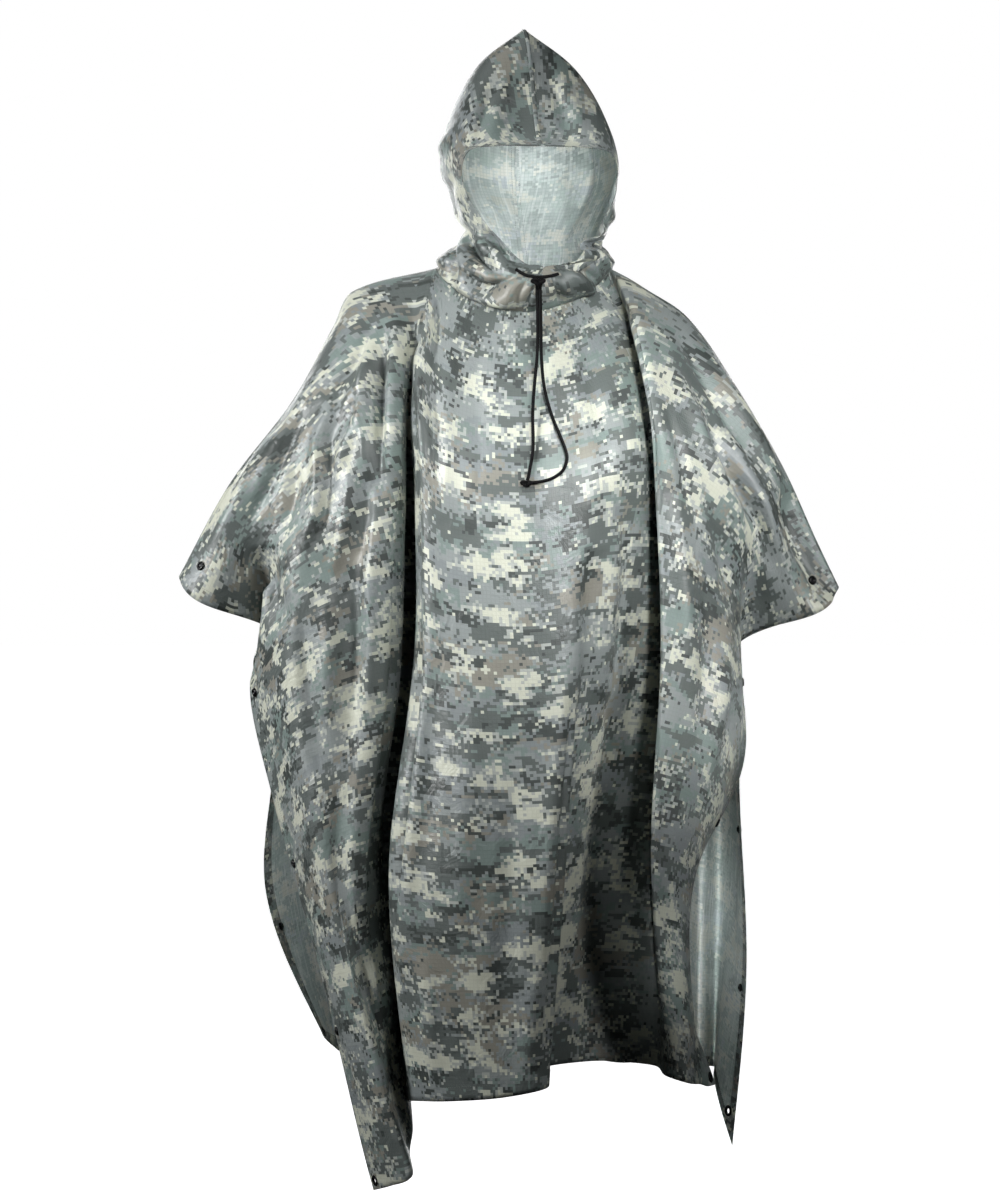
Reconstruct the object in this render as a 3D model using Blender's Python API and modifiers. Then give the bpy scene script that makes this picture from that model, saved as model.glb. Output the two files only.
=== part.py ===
"""Rain poncho in its worn, hollow form: two cloth panels, a two-piece hood, a drawstring, press studs
and corner eyelets.

Metres. +X is the right of someone who faces the poncho, -Y is its front, +Z is up. The origin lies
between the shoulders at the neck, where a wearer's shoulders and head hold the poncho up.
"""

import math
from collections import namedtuple

import bmesh
import bpy
from mathutils import Matrix, Vector

# Driving dimensions.
CLOTH_HALF_WIDTH = 0.70  # from the middle to a side edge, along the cloth
CLOTH_DROP = 1.10  # from the shoulder line to a hem, along the cloth
WALL = 0.0016  # coated ripstop with its hems
SEAM_GAP = 0.0003

# The neck seam is a polygon, so that the panels and the hood share its straight sides.
NECK_ALONG = 0.115  # where the shoulder line reaches the neck seam, along the cloth
NECK_SIDES = 7  # sides from the middle of the front or back to a shoulder
NECK_SIDE = NECK_ALONG / NECK_SIDES
NECK_CENTRE = Vector((-0.003, 0.0, 0.003))
NECK_HALF_WIDTH = 0.114
NECK_FRONT, NECK_FRONT_DROP = 0.105, 0.066
NECK_BACK, NECK_BACK_RISE = 0.100, 0.012
HOOD_RISE = 0.0033  # height of the hood's lower edge over the panels' inner faces

# A fold line runs from the shoulder line or the neck seam to the hem. These are its named levels, as
# shares of the way down.
LEVELS = {"top": 0.0, "chest": 0.20, "waist": 0.32, "hip": 0.50, "thigh": 0.74, "hem": 1.0}
OVER_ARM = 0.05  # share of the drop that a fold line takes to turn over the arm
ARM_GATHER = 0.84  # how much later the cloth at a cuff falls than the cloth at the middle
CUFF_SAG, CUFF_SAG_AT = 0.031, 0.09  # the mouth of a sleeve hangs below its shoulder line
TOP_FADE = 0.22  # share of the drop below which the top line's own shape is gone

FRONT_STEPS_DOWN, BACK_STEPS_DOWN = 18, 14
TOP_CROWDING = 1.35  # above 1, the rows of faces lie closer together near the shoulders

Station = namedtuple("Station", "name along x y z")
SHOULDER_LINE = (
    Station("left cuff", -0.700, -0.453, -0.050, -0.406),
    Station("left forearm", -0.553, -0.386, -0.045, -0.283),
    Station("left elbow", -0.410, -0.305, -0.030, -0.174),
    Station("left upper arm", -0.288, -0.251, -0.010, -0.072),
    Station("left shoulder", -0.240, -0.229, 0.000, -0.028),
    Station("left neck", -0.115, -0.117, 0.000, 0.003),
    Station("right neck", 0.115, 0.111, 0.000, 0.003),
    Station("right collar", 0.170, 0.153, 0.000, -0.022),
    Station("right shoulder", 0.247, 0.213, 0.000, -0.060),
    Station("right upper arm", 0.360, 0.273, -0.010, -0.145),
    Station("right elbow", 0.503, 0.337, -0.030, -0.258),
    Station("right forearm", 0.623, 0.382, -0.040, -0.358),
    Station("right cuff", 0.700, 0.411, -0.045, -0.420),
)

# Each row is one fold line, from the left side edge to the right one: where it starts along the top
# line, the columns of faces between it and the next, its (x, y) at each level, and the height of its
# end on the hem.
Fold = namedtuple("Fold", "name along steps chest waist hip thigh hem hem_z")
FRONT_FOLDS = (
    Fold("left side edge", -0.70, 1, (-0.328, -0.020), (-0.363, -0.010), (-0.332, -0.010),
         (-0.261, -0.040), (-0.196, -0.080), -1.204),
    Fold("left side hem", -0.65, 2, (-0.335, -0.047), (-0.354, -0.037), (-0.324, -0.037),
         (-0.258, -0.068), (-0.182, -0.104), -1.196),
    Fold("left under sleeve", -0.58, 4, (-0.343, -0.075), (-0.342, -0.075), (-0.315, -0.070),
         (-0.256, -0.090), (-0.172, -0.120), -1.190),
    Fold("left sleeve lip", -0.42, 4, (-0.291, -0.115), (-0.300, -0.125), (-0.290, -0.120),
         (-0.232, -0.135), (-0.147, -0.150), -1.174),
    Fold("left side", -0.27, 3, (-0.226, -0.125), (-0.226, -0.130), (-0.223, -0.128),
         (-0.223, -0.125), (-0.151, -0.110), -1.148),
    Fold("left of valley", -0.17, 3, (-0.164, -0.140), (-0.162, -0.138), (-0.166, -0.132),
         (-0.198, -0.125), (-0.148, -0.090), -1.125),
    Fold("left valley", -0.14, 3, (-0.150, -0.108), (-0.148, -0.088), (-0.147, -0.074),
         (-0.168, -0.062), (-0.151, -0.056), -1.096),
    Fold("left lip", -NECK_ALONG, 3, (-0.142, -0.150), (-0.137, -0.165), (-0.137, -0.172),
         (-0.170, -0.170), (-0.146, -0.125), -1.080),
    Fold("left chest", -4 * NECK_SIDE, 4, (-0.103, -0.168), (-0.099, -0.182), (-0.099, -0.190),
         (-0.121, -0.197), (-0.100, -0.168), -1.073),
    Fold("middle", 0.0, 3, (0.005, -0.185), (0.005, -0.198), (-0.002, -0.207),
         (-0.027, -0.210), (-0.027, -0.185), -1.065),
    Fold("middle lip", 3 * NECK_SIDE, 2, (0.075, -0.180), (0.068, -0.192), (0.059, -0.203),
         (0.045, -0.203), (0.025, -0.180), -1.054),
    Fold("behind middle lip", 4 * NECK_SIDE, 2, (0.099, -0.176), (0.089, -0.182), (0.071, -0.178),
         (0.041, -0.140), (0.019, -0.090), -1.044),
    Fold("hollow", 5 * NECK_SIDE, 2, (0.132, -0.162), (0.135, -0.150), (0.131, -0.120),
         (0.110, -0.065), (0.098, -0.034), -1.044),
    Fold("behind right lip", 6 * NECK_SIDE, 3, (0.165, -0.130), (0.183, -0.105), (0.192, -0.080),
         (0.193, -0.048), (0.171, -0.030), -1.050),
    Fold("right lip", NECK_ALONG, 4, (0.156, -0.158), (0.167, -0.165), (0.174, -0.168),
         (0.161, -0.160), (0.185, -0.090), -1.054),
    Fold("right side", 0.25, 5, (0.210, -0.145), (0.222, -0.150), (0.226, -0.152),
         (0.193, -0.135), (0.213, -0.100), -1.062),
    Fold("right under sleeve", 0.50, 3, (0.280, -0.105), (0.275, -0.085), (0.274, -0.080),
         (0.214, -0.090), (0.227, -0.078), -1.067),
    Fold("right side hem", 0.65, 1, (0.284, -0.048), (0.283, -0.036), (0.281, -0.036),
         (0.205, -0.070), (0.237, -0.064), -1.072),
    Fold("right side edge", 0.70, 0, (0.286, -0.020), (0.287, -0.008), (0.286, -0.008),
         (0.193, -0.045), (0.249, -0.040), -1.074),
)
BACK_FOLDS = (
    Fold("left side edge", -0.70, 1, (-0.326, 0.004), (-0.360, 0.006), (-0.334, 0.010),
         (-0.345, 0.030), (-0.268, 0.050), -1.025),
    Fold("left side hem", -0.64, 2, (-0.330, 0.032), (-0.352, 0.033), (-0.328, 0.037),
         (-0.333, 0.055), (-0.263, 0.077), -1.036),
    Fold("left under sleeve", -0.56, 3, (-0.335, 0.060), (-0.345, 0.060), (-0.322, 0.062),
         (-0.322, 0.080), (-0.258, 0.100), -1.045),
    Fold("left side ridge", -0.46, 3, (-0.305, 0.096), (-0.305, 0.102), (-0.295, 0.110),
         (-0.290, 0.132), (-0.252, 0.150), -1.060),
    Fold("left side valley", -0.36, 4, (-0.262, 0.094), (-0.258, 0.090), (-0.252, 0.086),
         (-0.250, 0.086), (-0.225, 0.092), -1.062),
    Fold("left ridge", -0.25, 4, (-0.210, 0.114), (-0.212, 0.130), (-0.210, 0.152),
         (-0.208, 0.182), (-0.195, 0.205), -1.075),
    Fold("left valley", -NECK_ALONG, 4, (-0.145, 0.114), (-0.150, 0.112), (-0.152, 0.106),
         (-0.152, 0.098), (-0.148, 0.092), -1.066),
    Fold("left back", -3 * NECK_SIDE, 3, (-0.072, 0.148), (-0.077, 0.165), (-0.080, 0.184),
         (-0.083, 0.204), (-0.088, 0.219), -1.077),
    Fold("middle valley", 0.0, 3, (-0.002, 0.136), (-0.005, 0.132), (-0.010, 0.122),
         (-0.017, 0.110), (-0.020, 0.100), -1.064),
    Fold("right back", 3 * NECK_SIDE, 4, (0.070, 0.148), (0.073, 0.167), (0.073, 0.188),
         (0.068, 0.208), (0.064, 0.220), -1.078),
    Fold("right valley", NECK_ALONG, 4, (0.138, 0.112), (0.142, 0.109), (0.142, 0.103),
         (0.138, 0.094), (0.135, 0.088), -1.066),
    Fold("right ridge", 0.25, 4, (0.198, 0.110), (0.206, 0.128), (0.209, 0.150),
         (0.206, 0.178), (0.202, 0.198), -1.077),
    Fold("right side valley", 0.36, 3, (0.238, 0.092), (0.242, 0.089), (0.243, 0.084),
         (0.240, 0.082), (0.236, 0.084), -1.070),
    Fold("right side ridge", 0.46, 3, (0.262, 0.094), (0.266, 0.100), (0.268, 0.108),
         (0.268, 0.130), (0.262, 0.142), -1.080),
    Fold("right under sleeve", 0.57, 2, (0.285, 0.055), (0.284, 0.056), (0.282, 0.060),
         (0.284, 0.072), (0.256, 0.085), -1.084),
    Fold("right side hem", 0.64, 1, (0.284, 0.032), (0.285, 0.034), (0.283, 0.040),
         (0.287, 0.050), (0.263, 0.058), -1.120),
    Fold("right side edge", 0.70, 0, (0.284, 0.004), (0.285, 0.006), (0.285, 0.012),
         (0.295, 0.022), (0.277, 0.030), -1.167),
)

# Each row is one section of the hood, from the neck seam to the crown seam, given for one half that
# faces straight ahead. It runs from a front point over a side point to a back point on the middle seam.
# front_turn is the way the cloth heads at its front point: 0 is straight sideways, 90 straight back.
Section = namedtuple("Section", "name share front front_turn side back")
HOOD_SECTIONS = (
    Section("neck seam", 0.00, (0.000, -0.105, -0.063), 0, (0.114, 0.000, 0.003), (0.100, 0.015)),
    Section("collar", 0.10, (0.000, -0.132, -0.034), 5, (0.106, 0.000, 0.028), (0.102, 0.032)),
    Section("chin seam", 0.18, (0.000, -0.122, -0.009), 5, (0.092, 0.003, 0.047), (0.102, 0.045)),
    Section("chin", 0.23, (0.029, -0.112, 0.000), 20, (0.088, 0.004, 0.058), (0.102, 0.054)),
    Section("cheek", 0.36, (0.064, -0.098, 0.038), 50, (0.102, 0.006, 0.090), (0.116, 0.088)),
    Section("temple", 0.52, (0.098, -0.082, 0.098), 75, (0.117, 0.010, 0.135), (0.130, 0.132)),
    Section("forehead", 0.70, (0.094, -0.094, 0.142), 70, (0.104, 0.015, 0.200), (0.126, 0.182)),
    Section("upper crown", 0.86, (0.052, -0.113, 0.148), 45, (0.062, 0.018, 0.275), (0.122, 0.212)),
    Section("crown seam", 1.00, (0.000, -0.120, 0.149), 90, (0.000, 0.020, 0.324), (0.112, 0.238)),
)
HOOD_TURN = math.radians(8)  # the hood looks a little to +X
HOOD_SHIFT = 0.012  # sideways, above the collar
HOOD_LEAN = -0.012  # sideways, at the tip
HOOD_HEIGHT = 0.324
HOOD_STEPS_ROUND, HOOD_STEPS_UP = 4 * NECK_SIDES, 16
HOOD_FULLNESS = 1.2  # length of the front tangents against the chord
HOOD_ROUNDNESS = 1.5  # length of the rear tangents against the chord, near a quarter ellipse's
PUCKER = 0.004  # the drawstring gathers the hood's edge from the chin to the cheek
PUCKER_PERIOD, PUCKER_FADE = 0.13, 0.14  # shares of the hood's height and of a section's length

# The free cords, as (x, z) seen from the front; they lie on the cloth behind them.
CORD_RADIUS = 0.002
CORD_CLEAR = 0.0009
CORD_STEP = 0.010
KNOT_CLEAR = 0.0004
CHIN_KNOT = (0.0158, -0.0290)
END_KNOT = (0.0000, -0.2890)
CHIN_KNOT_HALF = (0.0105, 0.0050, 0.0055)
END_KNOT_HALF = (0.0085, 0.0045, 0.0050)
CHIN_CORD = (
    (-0.0125, -0.0110), (0.0000, -0.0190), (0.0155, -0.0220), (0.0290, -0.0210), (0.0420, -0.0170),
)
DRAWSTRING_LEFT = (
    (0.0130, -0.0380), (0.0145, -0.1012), (0.0110, -0.1492), (0.0085, -0.1972), (0.0085, -0.2465),
    (0.0030, -0.2800),
)
DRAWSTRING_RIGHT = (
    (0.0188, -0.0380), (0.0200, -0.1012), (0.0226, -0.1201), (0.0240, -0.1732), (0.0327, -0.2023),
    (0.0453, -0.2338), (0.0517, -0.2553), (0.0460, -0.2730), (0.0302, -0.2835), (0.0130, -0.2875),
)

# Press studs sit on the side hems at these shares of the way down, an eyelet in each corner.
SNAPS_DOWN = (0.03, 0.36, 0.58, 0.80)
SNAP_RADIUS, SNAP_HEIGHT = 0.0062, 0.0028
EYELET_HOLE, EYELET_BARREL, EYELET_FLANGE, EYELET_PLATE = 0.0036, 0.0046, 0.0075, 0.0008
EYELET_CLEAR = 0.0004
ROUND_SEGMENTS = 12


def hermite(start, end, leave, arrive, share):
    """A cubic between two values, with the slopes it leaves and arrives with."""
    s, s2, s3 = share, share * share, share**3
    return (
        start * (2 * s3 - 3 * s2 + 1) + leave * (s3 - 2 * s2 + s)
        + end * (3 * s2 - 2 * s3) + arrive * (s3 - s2)
    )


def through(knots, values, where, leave=None):
    """A smooth curve through values at rising knots; leave is its slope at the first one."""
    last = len(knots) - 1
    i = min(max(sum(knot <= where for knot in knots) - 1, 0), last - 1)
    slopes = []
    for k in (i, i + 1):
        if k == 0 and leave is not None:
            slopes.append(leave)
            continue
        a, b = max(k - 1, 0), min(k + 1, last)
        slopes.append((values[b] - values[a]) / (knots[b] - knots[a]))
    span = knots[i + 1] - knots[i]
    share = (where - knots[i]) / span
    return hermite(values[i], values[i + 1], slopes[0] * span, slopes[1] * span, share)


def between(points, i, share):
    """A point of the centripetal curve through points, at share of the way from point i to the next."""
    near = points[i], points[i + 1]
    before = points[i - 1] if i else near[0] * 2 - near[1]
    after = points[i + 2] if i + 2 < len(points) else near[1] * 2 - near[0]
    spans = [
        max(math.sqrt((b - a).length), 1e-4)
        for a, b in ((before, near[0]), near, (near[1], after))
    ]
    leave, arrive = (
        (b - a) / p - (c - a) / (p + q) + (c - b) / q
        for a, b, c, p, q in (
            (before, near[0], near[1], spans[0], spans[1]),
            (near[0], near[1], after, spans[1], spans[2]),
        )
    )
    return hermite(near[0], near[1], leave * spans[1], arrive * spans[1], share)


def neck_corner(number, front):
    """A corner of the neck seam; number runs from -NECK_SIDES at the left shoulder to NECK_SIDES."""
    angle = number / NECK_SIDES * math.pi / 2
    reach, rise = (-NECK_FRONT, -NECK_FRONT_DROP) if front else (NECK_BACK, NECK_BACK_RISE)
    out = max(math.cos(angle), 0)
    return NECK_CENTRE + Vector((NECK_HALF_WIDTH * math.sin(angle), reach * out, rise * out**1.5))


def neck_point(along, front):
    """A point of the neck seam; along runs from -NECK_ALONG to NECK_ALONG."""
    place = along / NECK_SIDE
    first = min(math.floor(place + 1e-6), NECK_SIDES - 1)
    return neck_corner(first, front).lerp(neck_corner(first + 1, front), place - first)


def top_point(along, front):
    """A point of a panel's top line: the shoulder line outside the neck, the neck seam within it."""
    if abs(along) < NECK_ALONG - 1e-6:
        return neck_point(along, front)
    side = [s for s in SHOULDER_LINE if s.along * along > 0]
    knots = [s.along for s in side]
    point = through(knots, [Vector((s.x, s.y, s.z)) for s in side], along)
    return point + Vector((0, -SEAM_GAP if front else SEAM_GAP, 0))


def arm_share(along):
    """0 on the body, rising to 1 at a cuff."""
    shoulder = 0.25
    return min(max((abs(along) - shoulder) / (CLOTH_HALF_WIDTH - shoulder), 0), 1)


def fallen(along, down):
    """Share of a fold line's height that is behind it at down, which is a share of its length."""
    turn = OVER_ARM if abs(along) >= NECK_ALONG else 0
    share = down * down / (down + turn) * (1 + turn) if turn else down
    return share - ARM_GATHER * arm_share(along) * share * (1 - share) ** 2


def fold_point(fold, down, front):
    """A point of one fold line."""
    start = top_point(fold.along, front)
    stops = [start.xy] + [Vector(getattr(fold, level)) for level in list(LEVELS)[1:]]
    forward = -1 if front else 1
    on_neck = abs(fold.along) < NECK_ALONG
    leave = Vector((
        (1.5 - arm_share(fold.along)) * (stops[1].x - start.x) / LEVELS["chest"],
        forward * (0.6 if on_neck else 1.0) * CLOTH_DROP,
    ))
    xy = through(list(LEVELS.values()), stops, down, leave)
    near_cuff = down / CUFF_SAG_AT
    sag = CUFF_SAG * arm_share(fold.along) ** 2 * near_cuff * math.exp(1 - near_cuff)
    return Vector((*xy, start.z + (fold.hem_z - start.z) * fallen(fold.along, down) - sag))


def panel_point(folds, i, share, down, front):
    """A point of a panel, share of the way from fold line i to the next."""
    along = folds[i].along + share * (folds[i + 1].along - folds[i].along)
    point = between([fold_point(f, down, front) for f in folds], i, share)
    if down < TOP_FADE:
        drawn = between([top_point(f.along, front) for f in folds], i, share)
        point += (top_point(along, front) - drawn) * (1 - down / TOP_FADE) ** 2
    return point


def hood_turned(point, up_share):
    """The hood's shift, lean and turn about the neck, all of which fade out at the neck seam."""
    free = min(up_share / 0.25, 1.0)
    free = free * free * (3 - 2 * free)
    turned = Matrix.Rotation(HOOD_TURN * free, 3, "Z") @ point
    lean = HOOD_LEAN * max(point.z, 0) / HOOD_HEIGHT
    return turned + Vector(((HOOD_SHIFT + lean) * free, 0, 0))


def pucker(round_share, up_share):
    """How far the gathered edge of the hood stands out there."""
    height = min(max((up_share - 0.04) / 0.40, 0), 1)
    wave = math.cos(2 * math.pi * up_share / PUCKER_PERIOD)
    return PUCKER * math.sin(math.pi * height) * wave * math.exp(-round_share / PUCKER_FADE)


def hood_point(side, round_share, up_share):
    """A point of one hood half; side is -1 or 1, round_share runs from its front edge to its back seam."""
    if up_share == 0:
        along = side * NECK_ALONG * 2 * min(round_share, 1 - round_share)
        seam = neck_point(along, front=round_share < 0.5)
        return seam + Vector((side * SEAM_GAP / 2, 0, HOOD_RISE))
    knots = [s.share for s in HOOD_SECTIONS]
    front = through(knots, [Vector(s.front) for s in HOOD_SECTIONS], up_share)
    middle = through(knots, [Vector(s.side) for s in HOOD_SECTIONS], up_share)
    back = through(knots, [Vector((0, *s.back)) for s in HOOD_SECTIONS], up_share)
    turn = math.radians(through(knots, [float(s.front_turn) for s in HOOD_SECTIONS], up_share))
    out = Vector((math.cos(turn), math.sin(turn), 0))
    if round_share < 0.5:
        chord = (middle - front).length * HOOD_FULLNESS
        point = hermite(front, middle, out * chord, Vector((0, chord, 0)), round_share * 2)
    else:
        away = Vector((0, (back.y - middle.y) * HOOD_ROUNDNESS, 0))
        home = Vector((-middle.x * HOOD_ROUNDNESS, 0, 0))
        point = hermite(middle, back, away, home, round_share * 2 - 1)
    point += Vector((out.y, -out.x, 0)) * pucker(round_share, up_share)
    point.x = max(point.x, 0) * side
    return hood_turned(point, up_share) + Vector((side * SEAM_GAP / 2, 0, 0))


def material(name, colour, roughness, metallic=0.0):
    made = bpy.data.materials.new(name)
    made.use_nodes = True
    shader = made.node_tree.nodes["Principled BSDF"]
    shader.inputs["Base Color"].default_value = (*colour, 1)
    shader.inputs["Roughness"].default_value = roughness
    shader.inputs["Metallic"].default_value = metallic
    return made


def add_mesh(name, bm, collection, look):
    mesh = bpy.data.meshes.new(name)
    bm.to_mesh(mesh)
    bm.free()
    mesh.shade_smooth()
    mesh.materials.append(look)
    made = bpy.data.objects.new(name, mesh)
    collection.objects.link(made)
    return made


def add_cloth(name, steps_across, steps_down, point_at, collection, look, flip=False):
    """A grid whose points are moved to point_at(column, row), made a wall on its outer side."""
    bm = bmesh.new()
    bmesh.ops.create_grid(bm, x_segments=steps_across, y_segments=steps_down, size=1)
    for vert in bm.verts:
        column = round((vert.co.x + 1) / 2 * steps_across)
        row = round((1 - vert.co.y) / 2 * steps_down)
        vert.co = point_at(column, row)
    if flip:
        bmesh.ops.reverse_faces(bm, faces=bm.faces)
    bmesh.ops.triangulate(bm, faces=bm.faces)
    made = add_mesh(name, bm, collection, look)
    wall = made.modifiers.new("wall", "SOLIDIFY")
    wall.thickness = WALL
    wall.offset = 1
    return made


def add_panel(name, folds, steps_down, front, collection, look):
    columns = [(i, k / fold.steps) for i, fold in enumerate(folds[:-1]) for k in range(fold.steps)]
    columns.append((len(folds) - 2, 1.0))

    def point_at(column, row):
        return panel_point(folds, *columns[column], (row / steps_down) ** TOP_CROWDING, front)

    return add_cloth(name, len(columns) - 1, steps_down, point_at, collection, look, not front)


def add_hood_half(name, side, collection, look):
    def point_at(column, row):
        return hood_point(side, column / HOOD_STEPS_ROUND, 1 - row / HOOD_STEPS_UP)

    return add_cloth(
        name, HOOD_STEPS_ROUND, HOOD_STEPS_UP, point_at, collection, look, flip=side < 0
    )


def seat(panel, wanted):
    """The frame on the flat of the panel's face nearest to wanted: its +Z is the cloth's outer side."""
    face = min(panel.data.polygons, key=lambda face: (face.center - wanted).length)
    a, b, c = (panel.data.vertices[i].co for i in face.vertices)
    weights = (b - c).length, (c - a).length, (a - b).length
    centre = (a * weights[0] + b * weights[1] + c * weights[2]) / sum(weights)
    return Matrix.Translation(centre) @ face.normal.to_track_quat("Z", "Y").to_matrix().to_4x4()


def add_lathed(name, profile, frame, collection, look):
    """A closed ring or disc turned from (radius, height) points about the frame's +Z."""
    bm = bmesh.new()
    rings = []
    for k in range(ROUND_SEGMENTS):
        angle = 2 * math.pi * k / ROUND_SEGMENTS
        spots = [Vector((r * math.cos(angle), r * math.sin(angle), z)) for r, z in profile]
        rings.append([bm.verts.new(frame @ spot) for spot in spots])
    for ring, following in zip(rings, rings[1:] + rings[:1]):
        for i in range(len(profile)):
            j = (i + 1) % len(profile)
            bm.faces.new((ring[i], following[i], following[j], ring[j]))
    bmesh.ops.remove_doubles(bm, verts=bm.verts, dist=1e-6)
    bmesh.ops.recalc_face_normals(bm, faces=bm.faces)
    return add_mesh(name, bm, collection, look)


def add_snaps(panel, folds, front, collection, look):
    """Four caps down each side hem of a panel."""
    low, high = WALL + SEAM_GAP, WALL + SEAM_GAP + SNAP_HEIGHT
    profile = (
        (0, low), (SNAP_RADIUS, low), (SNAP_RADIUS, low + SNAP_HEIGHT * 0.4),
        (SNAP_RADIUS * 0.72, high), (0, high),
    )
    for side, i in (("left", 0), ("right", len(folds) - 2)):
        for number, down in enumerate(SNAPS_DOWN, 1):
            frame = seat(panel, panel_point(folds, i, 0.5, down, front))
            add_lathed(f"snap_{panel.name[:-6]}_{side}_{number}", profile, frame, collection, look)


def add_eyelets(panel, folds, front, collection, look):
    """A flanged ring through a hole in each lower corner of a panel."""
    low, high = -EYELET_CLEAR, WALL + EYELET_CLEAR
    profile = (
        (EYELET_HOLE, low - EYELET_PLATE), (EYELET_FLANGE, low - EYELET_PLATE),
        (EYELET_FLANGE, low), (EYELET_BARREL, low), (EYELET_BARREL, high),
        (EYELET_FLANGE, high), (EYELET_FLANGE, high + EYELET_PLATE),
        (EYELET_HOLE, high + EYELET_PLATE),
    )
    bore = EYELET_BARREL + EYELET_CLEAR
    for side, i in (("left", 0), ("right", len(folds) - 2)):
        frame = seat(panel, panel_point(folds, i, 0.5, 0.975, front))
        name = f"eyelet_{panel.name[:-6]}_{side}"
        add_lathed(name, profile, frame, collection, look)
        rod = ((0, -0.01), (bore, -0.01), (bore, 0.01), (0, 0.01))
        cutter = add_lathed(name + "_cutter", rod, frame, collection, look)
        cutter.hide_render = True
        cut = panel.modifiers.new(name, "BOOLEAN")
        cut.operation = "DIFFERENCE"
        cut.object = cutter


def front_of(spot, reach, cloths, graph):
    """The y of the front of the cloths at an (x, z) spot, over reach to each side; 0 where there are none."""
    found = [
        cloth.evaluated_get(graph).ray_cast(Vector((spot[0] + aside, -1, spot[1])), Vector((0, 1, 0)))
        for cloth in cloths
        for aside in (-reach, 0, reach)
    ]
    return min((place.y for hit, place, _, _ in found if hit), default=0.0)


def draped(path, cloths, graph):
    """Points of a taut cord along an (x, z) path, on the front of the cloths behind it."""
    spots = [Vector(spot) for spot in path]
    flat = []
    for i in range(len(spots) - 1):
        count = max(round((spots[i + 1] - spots[i]).length / CORD_STEP), 1)
        flat += [between(spots, i, k / count) for k in range(count)]
    flat.append(spots[-1])
    fronts = [front_of(spot, CORD_RADIUS, cloths, graph) for spot in flat]
    last = len(flat)
    taut = [
        min(
            fronts[j] + (fronts[k] - fronts[j]) * (i - j) / max(k - j, 1)
            for j in range(i + 1)
            for k in range(i, last)
        )
        for i in range(last)
    ]
    out = CORD_RADIUS + CORD_CLEAR
    return [Vector((spot.x, y - out, spot.y)) for spot, y in zip(flat, taut)]


def add_cord(name, points, collection, look):
    curve = bpy.data.curves.new(name, "CURVE")
    curve.dimensions = "3D"
    curve.bevel_depth = CORD_RADIUS
    curve.bevel_resolution = 1
    curve.use_fill_caps = True
    line = curve.splines.new("POLY")
    line.points.add(len(points) - 1)
    for spot, point in zip(line.points, points):
        spot.co = (*point, 1)
    curve.materials.append(look)
    made = bpy.data.objects.new(name, curve)
    collection.objects.link(made)
    return made


def knot_centre(spot, half_sizes, cloths, graph):
    """The middle of a knot that lies on the front of the cloths behind an (x, z) spot."""
    width, depth, height = half_sizes
    rows = (-height / 2, 0, height / 2)
    behind = min(front_of((spot[0], spot[1] + up), width / 2, cloths, graph) for up in rows)
    return Vector((spot[0], behind - depth - KNOT_CLEAR, spot[1]))


def add_knot(name, centre, half_sizes, collection, look):
    bm = bmesh.new()
    bmesh.ops.create_icosphere(bm, subdivisions=2, radius=1)
    for vert in bm.verts:
        vert.co = centre + Matrix.Diagonal(half_sizes) @ vert.co
    return add_mesh(name, bm, collection, look)


def at_knot(start, aim, centre, half_sizes):
    """Where a straight cord from start towards aim meets a knot, short of it by the seam gap."""
    way = (aim - start).normalized()
    scaled = Matrix.Diagonal([1 / half for half in half_sizes])
    out, ahead = scaled @ (start - centre), scaled @ way
    a, b, c = ahead.dot(ahead), out.dot(ahead), out.dot(out) - 1
    return start + way * ((-b - math.sqrt(b * b - a * c)) / a - SEAM_GAP)


def build():
    for old in list(bpy.data.objects):
        bpy.data.objects.remove(old, do_unlink=True)
    poncho = bpy.data.collections.new("rain_poncho")
    bpy.context.scene.collection.children.link(poncho)
    cloth = material("camouflage_ripstop", (0.33, 0.36, 0.33), 0.55)
    black = material("black_cord", (0.02, 0.02, 0.02), 0.8)
    lacquer = material("black_lacquered_brass", (0.03, 0.03, 0.03), 0.35, metallic=0.8)

    front = add_panel("front_panel", FRONT_FOLDS, FRONT_STEPS_DOWN, True, poncho, cloth)
    back = add_panel("back_panel", BACK_FOLDS, BACK_STEPS_DOWN, False, poncho, cloth)
    hood = [add_hood_half("hood_left", -1, poncho, cloth), add_hood_half("hood_right", 1, poncho, cloth)]
    bpy.context.view_layer.update()
    graph = bpy.context.evaluated_depsgraph_get()

    cloths = [front, *hood]
    chin = knot_centre(CHIN_KNOT, CHIN_KNOT_HALF, cloths, graph)
    end = knot_centre(END_KNOT, END_KNOT_HALF, cloths, graph)
    add_knot("chin_knot", chin, CHIN_KNOT_HALF, poncho, black)
    add_knot("end_knot", end, END_KNOT_HALF, poncho, black)
    add_cord("chin_cord", draped(CHIN_CORD, cloths, graph), poncho, black)
    for name, path in (("drawstring_left", DRAWSTRING_LEFT), ("drawstring_right", DRAWSTRING_RIGHT)):
        points = draped(path, cloths, graph)
        below_chin = Vector((points[0].x, chin.y, chin.z))
        points.insert(0, at_knot(points[0], below_chin, chin, CHIN_KNOT_HALF))
        points.append(at_knot(points[-1], end, end, END_KNOT_HALF))
        add_cord(name, points, poncho, black)
    for panel, folds, is_front in ((front, FRONT_FOLDS, True), (back, BACK_FOLDS, False)):
        add_snaps(panel, folds, is_front, poncho, lacquer)
        add_eyelets(panel, folds, is_front, poncho, lacquer)


build()
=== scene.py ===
import math
from collections import namedtuple

import bmesh
import bpy
import numpy as np
from mathutils import Matrix, Vector


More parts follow.
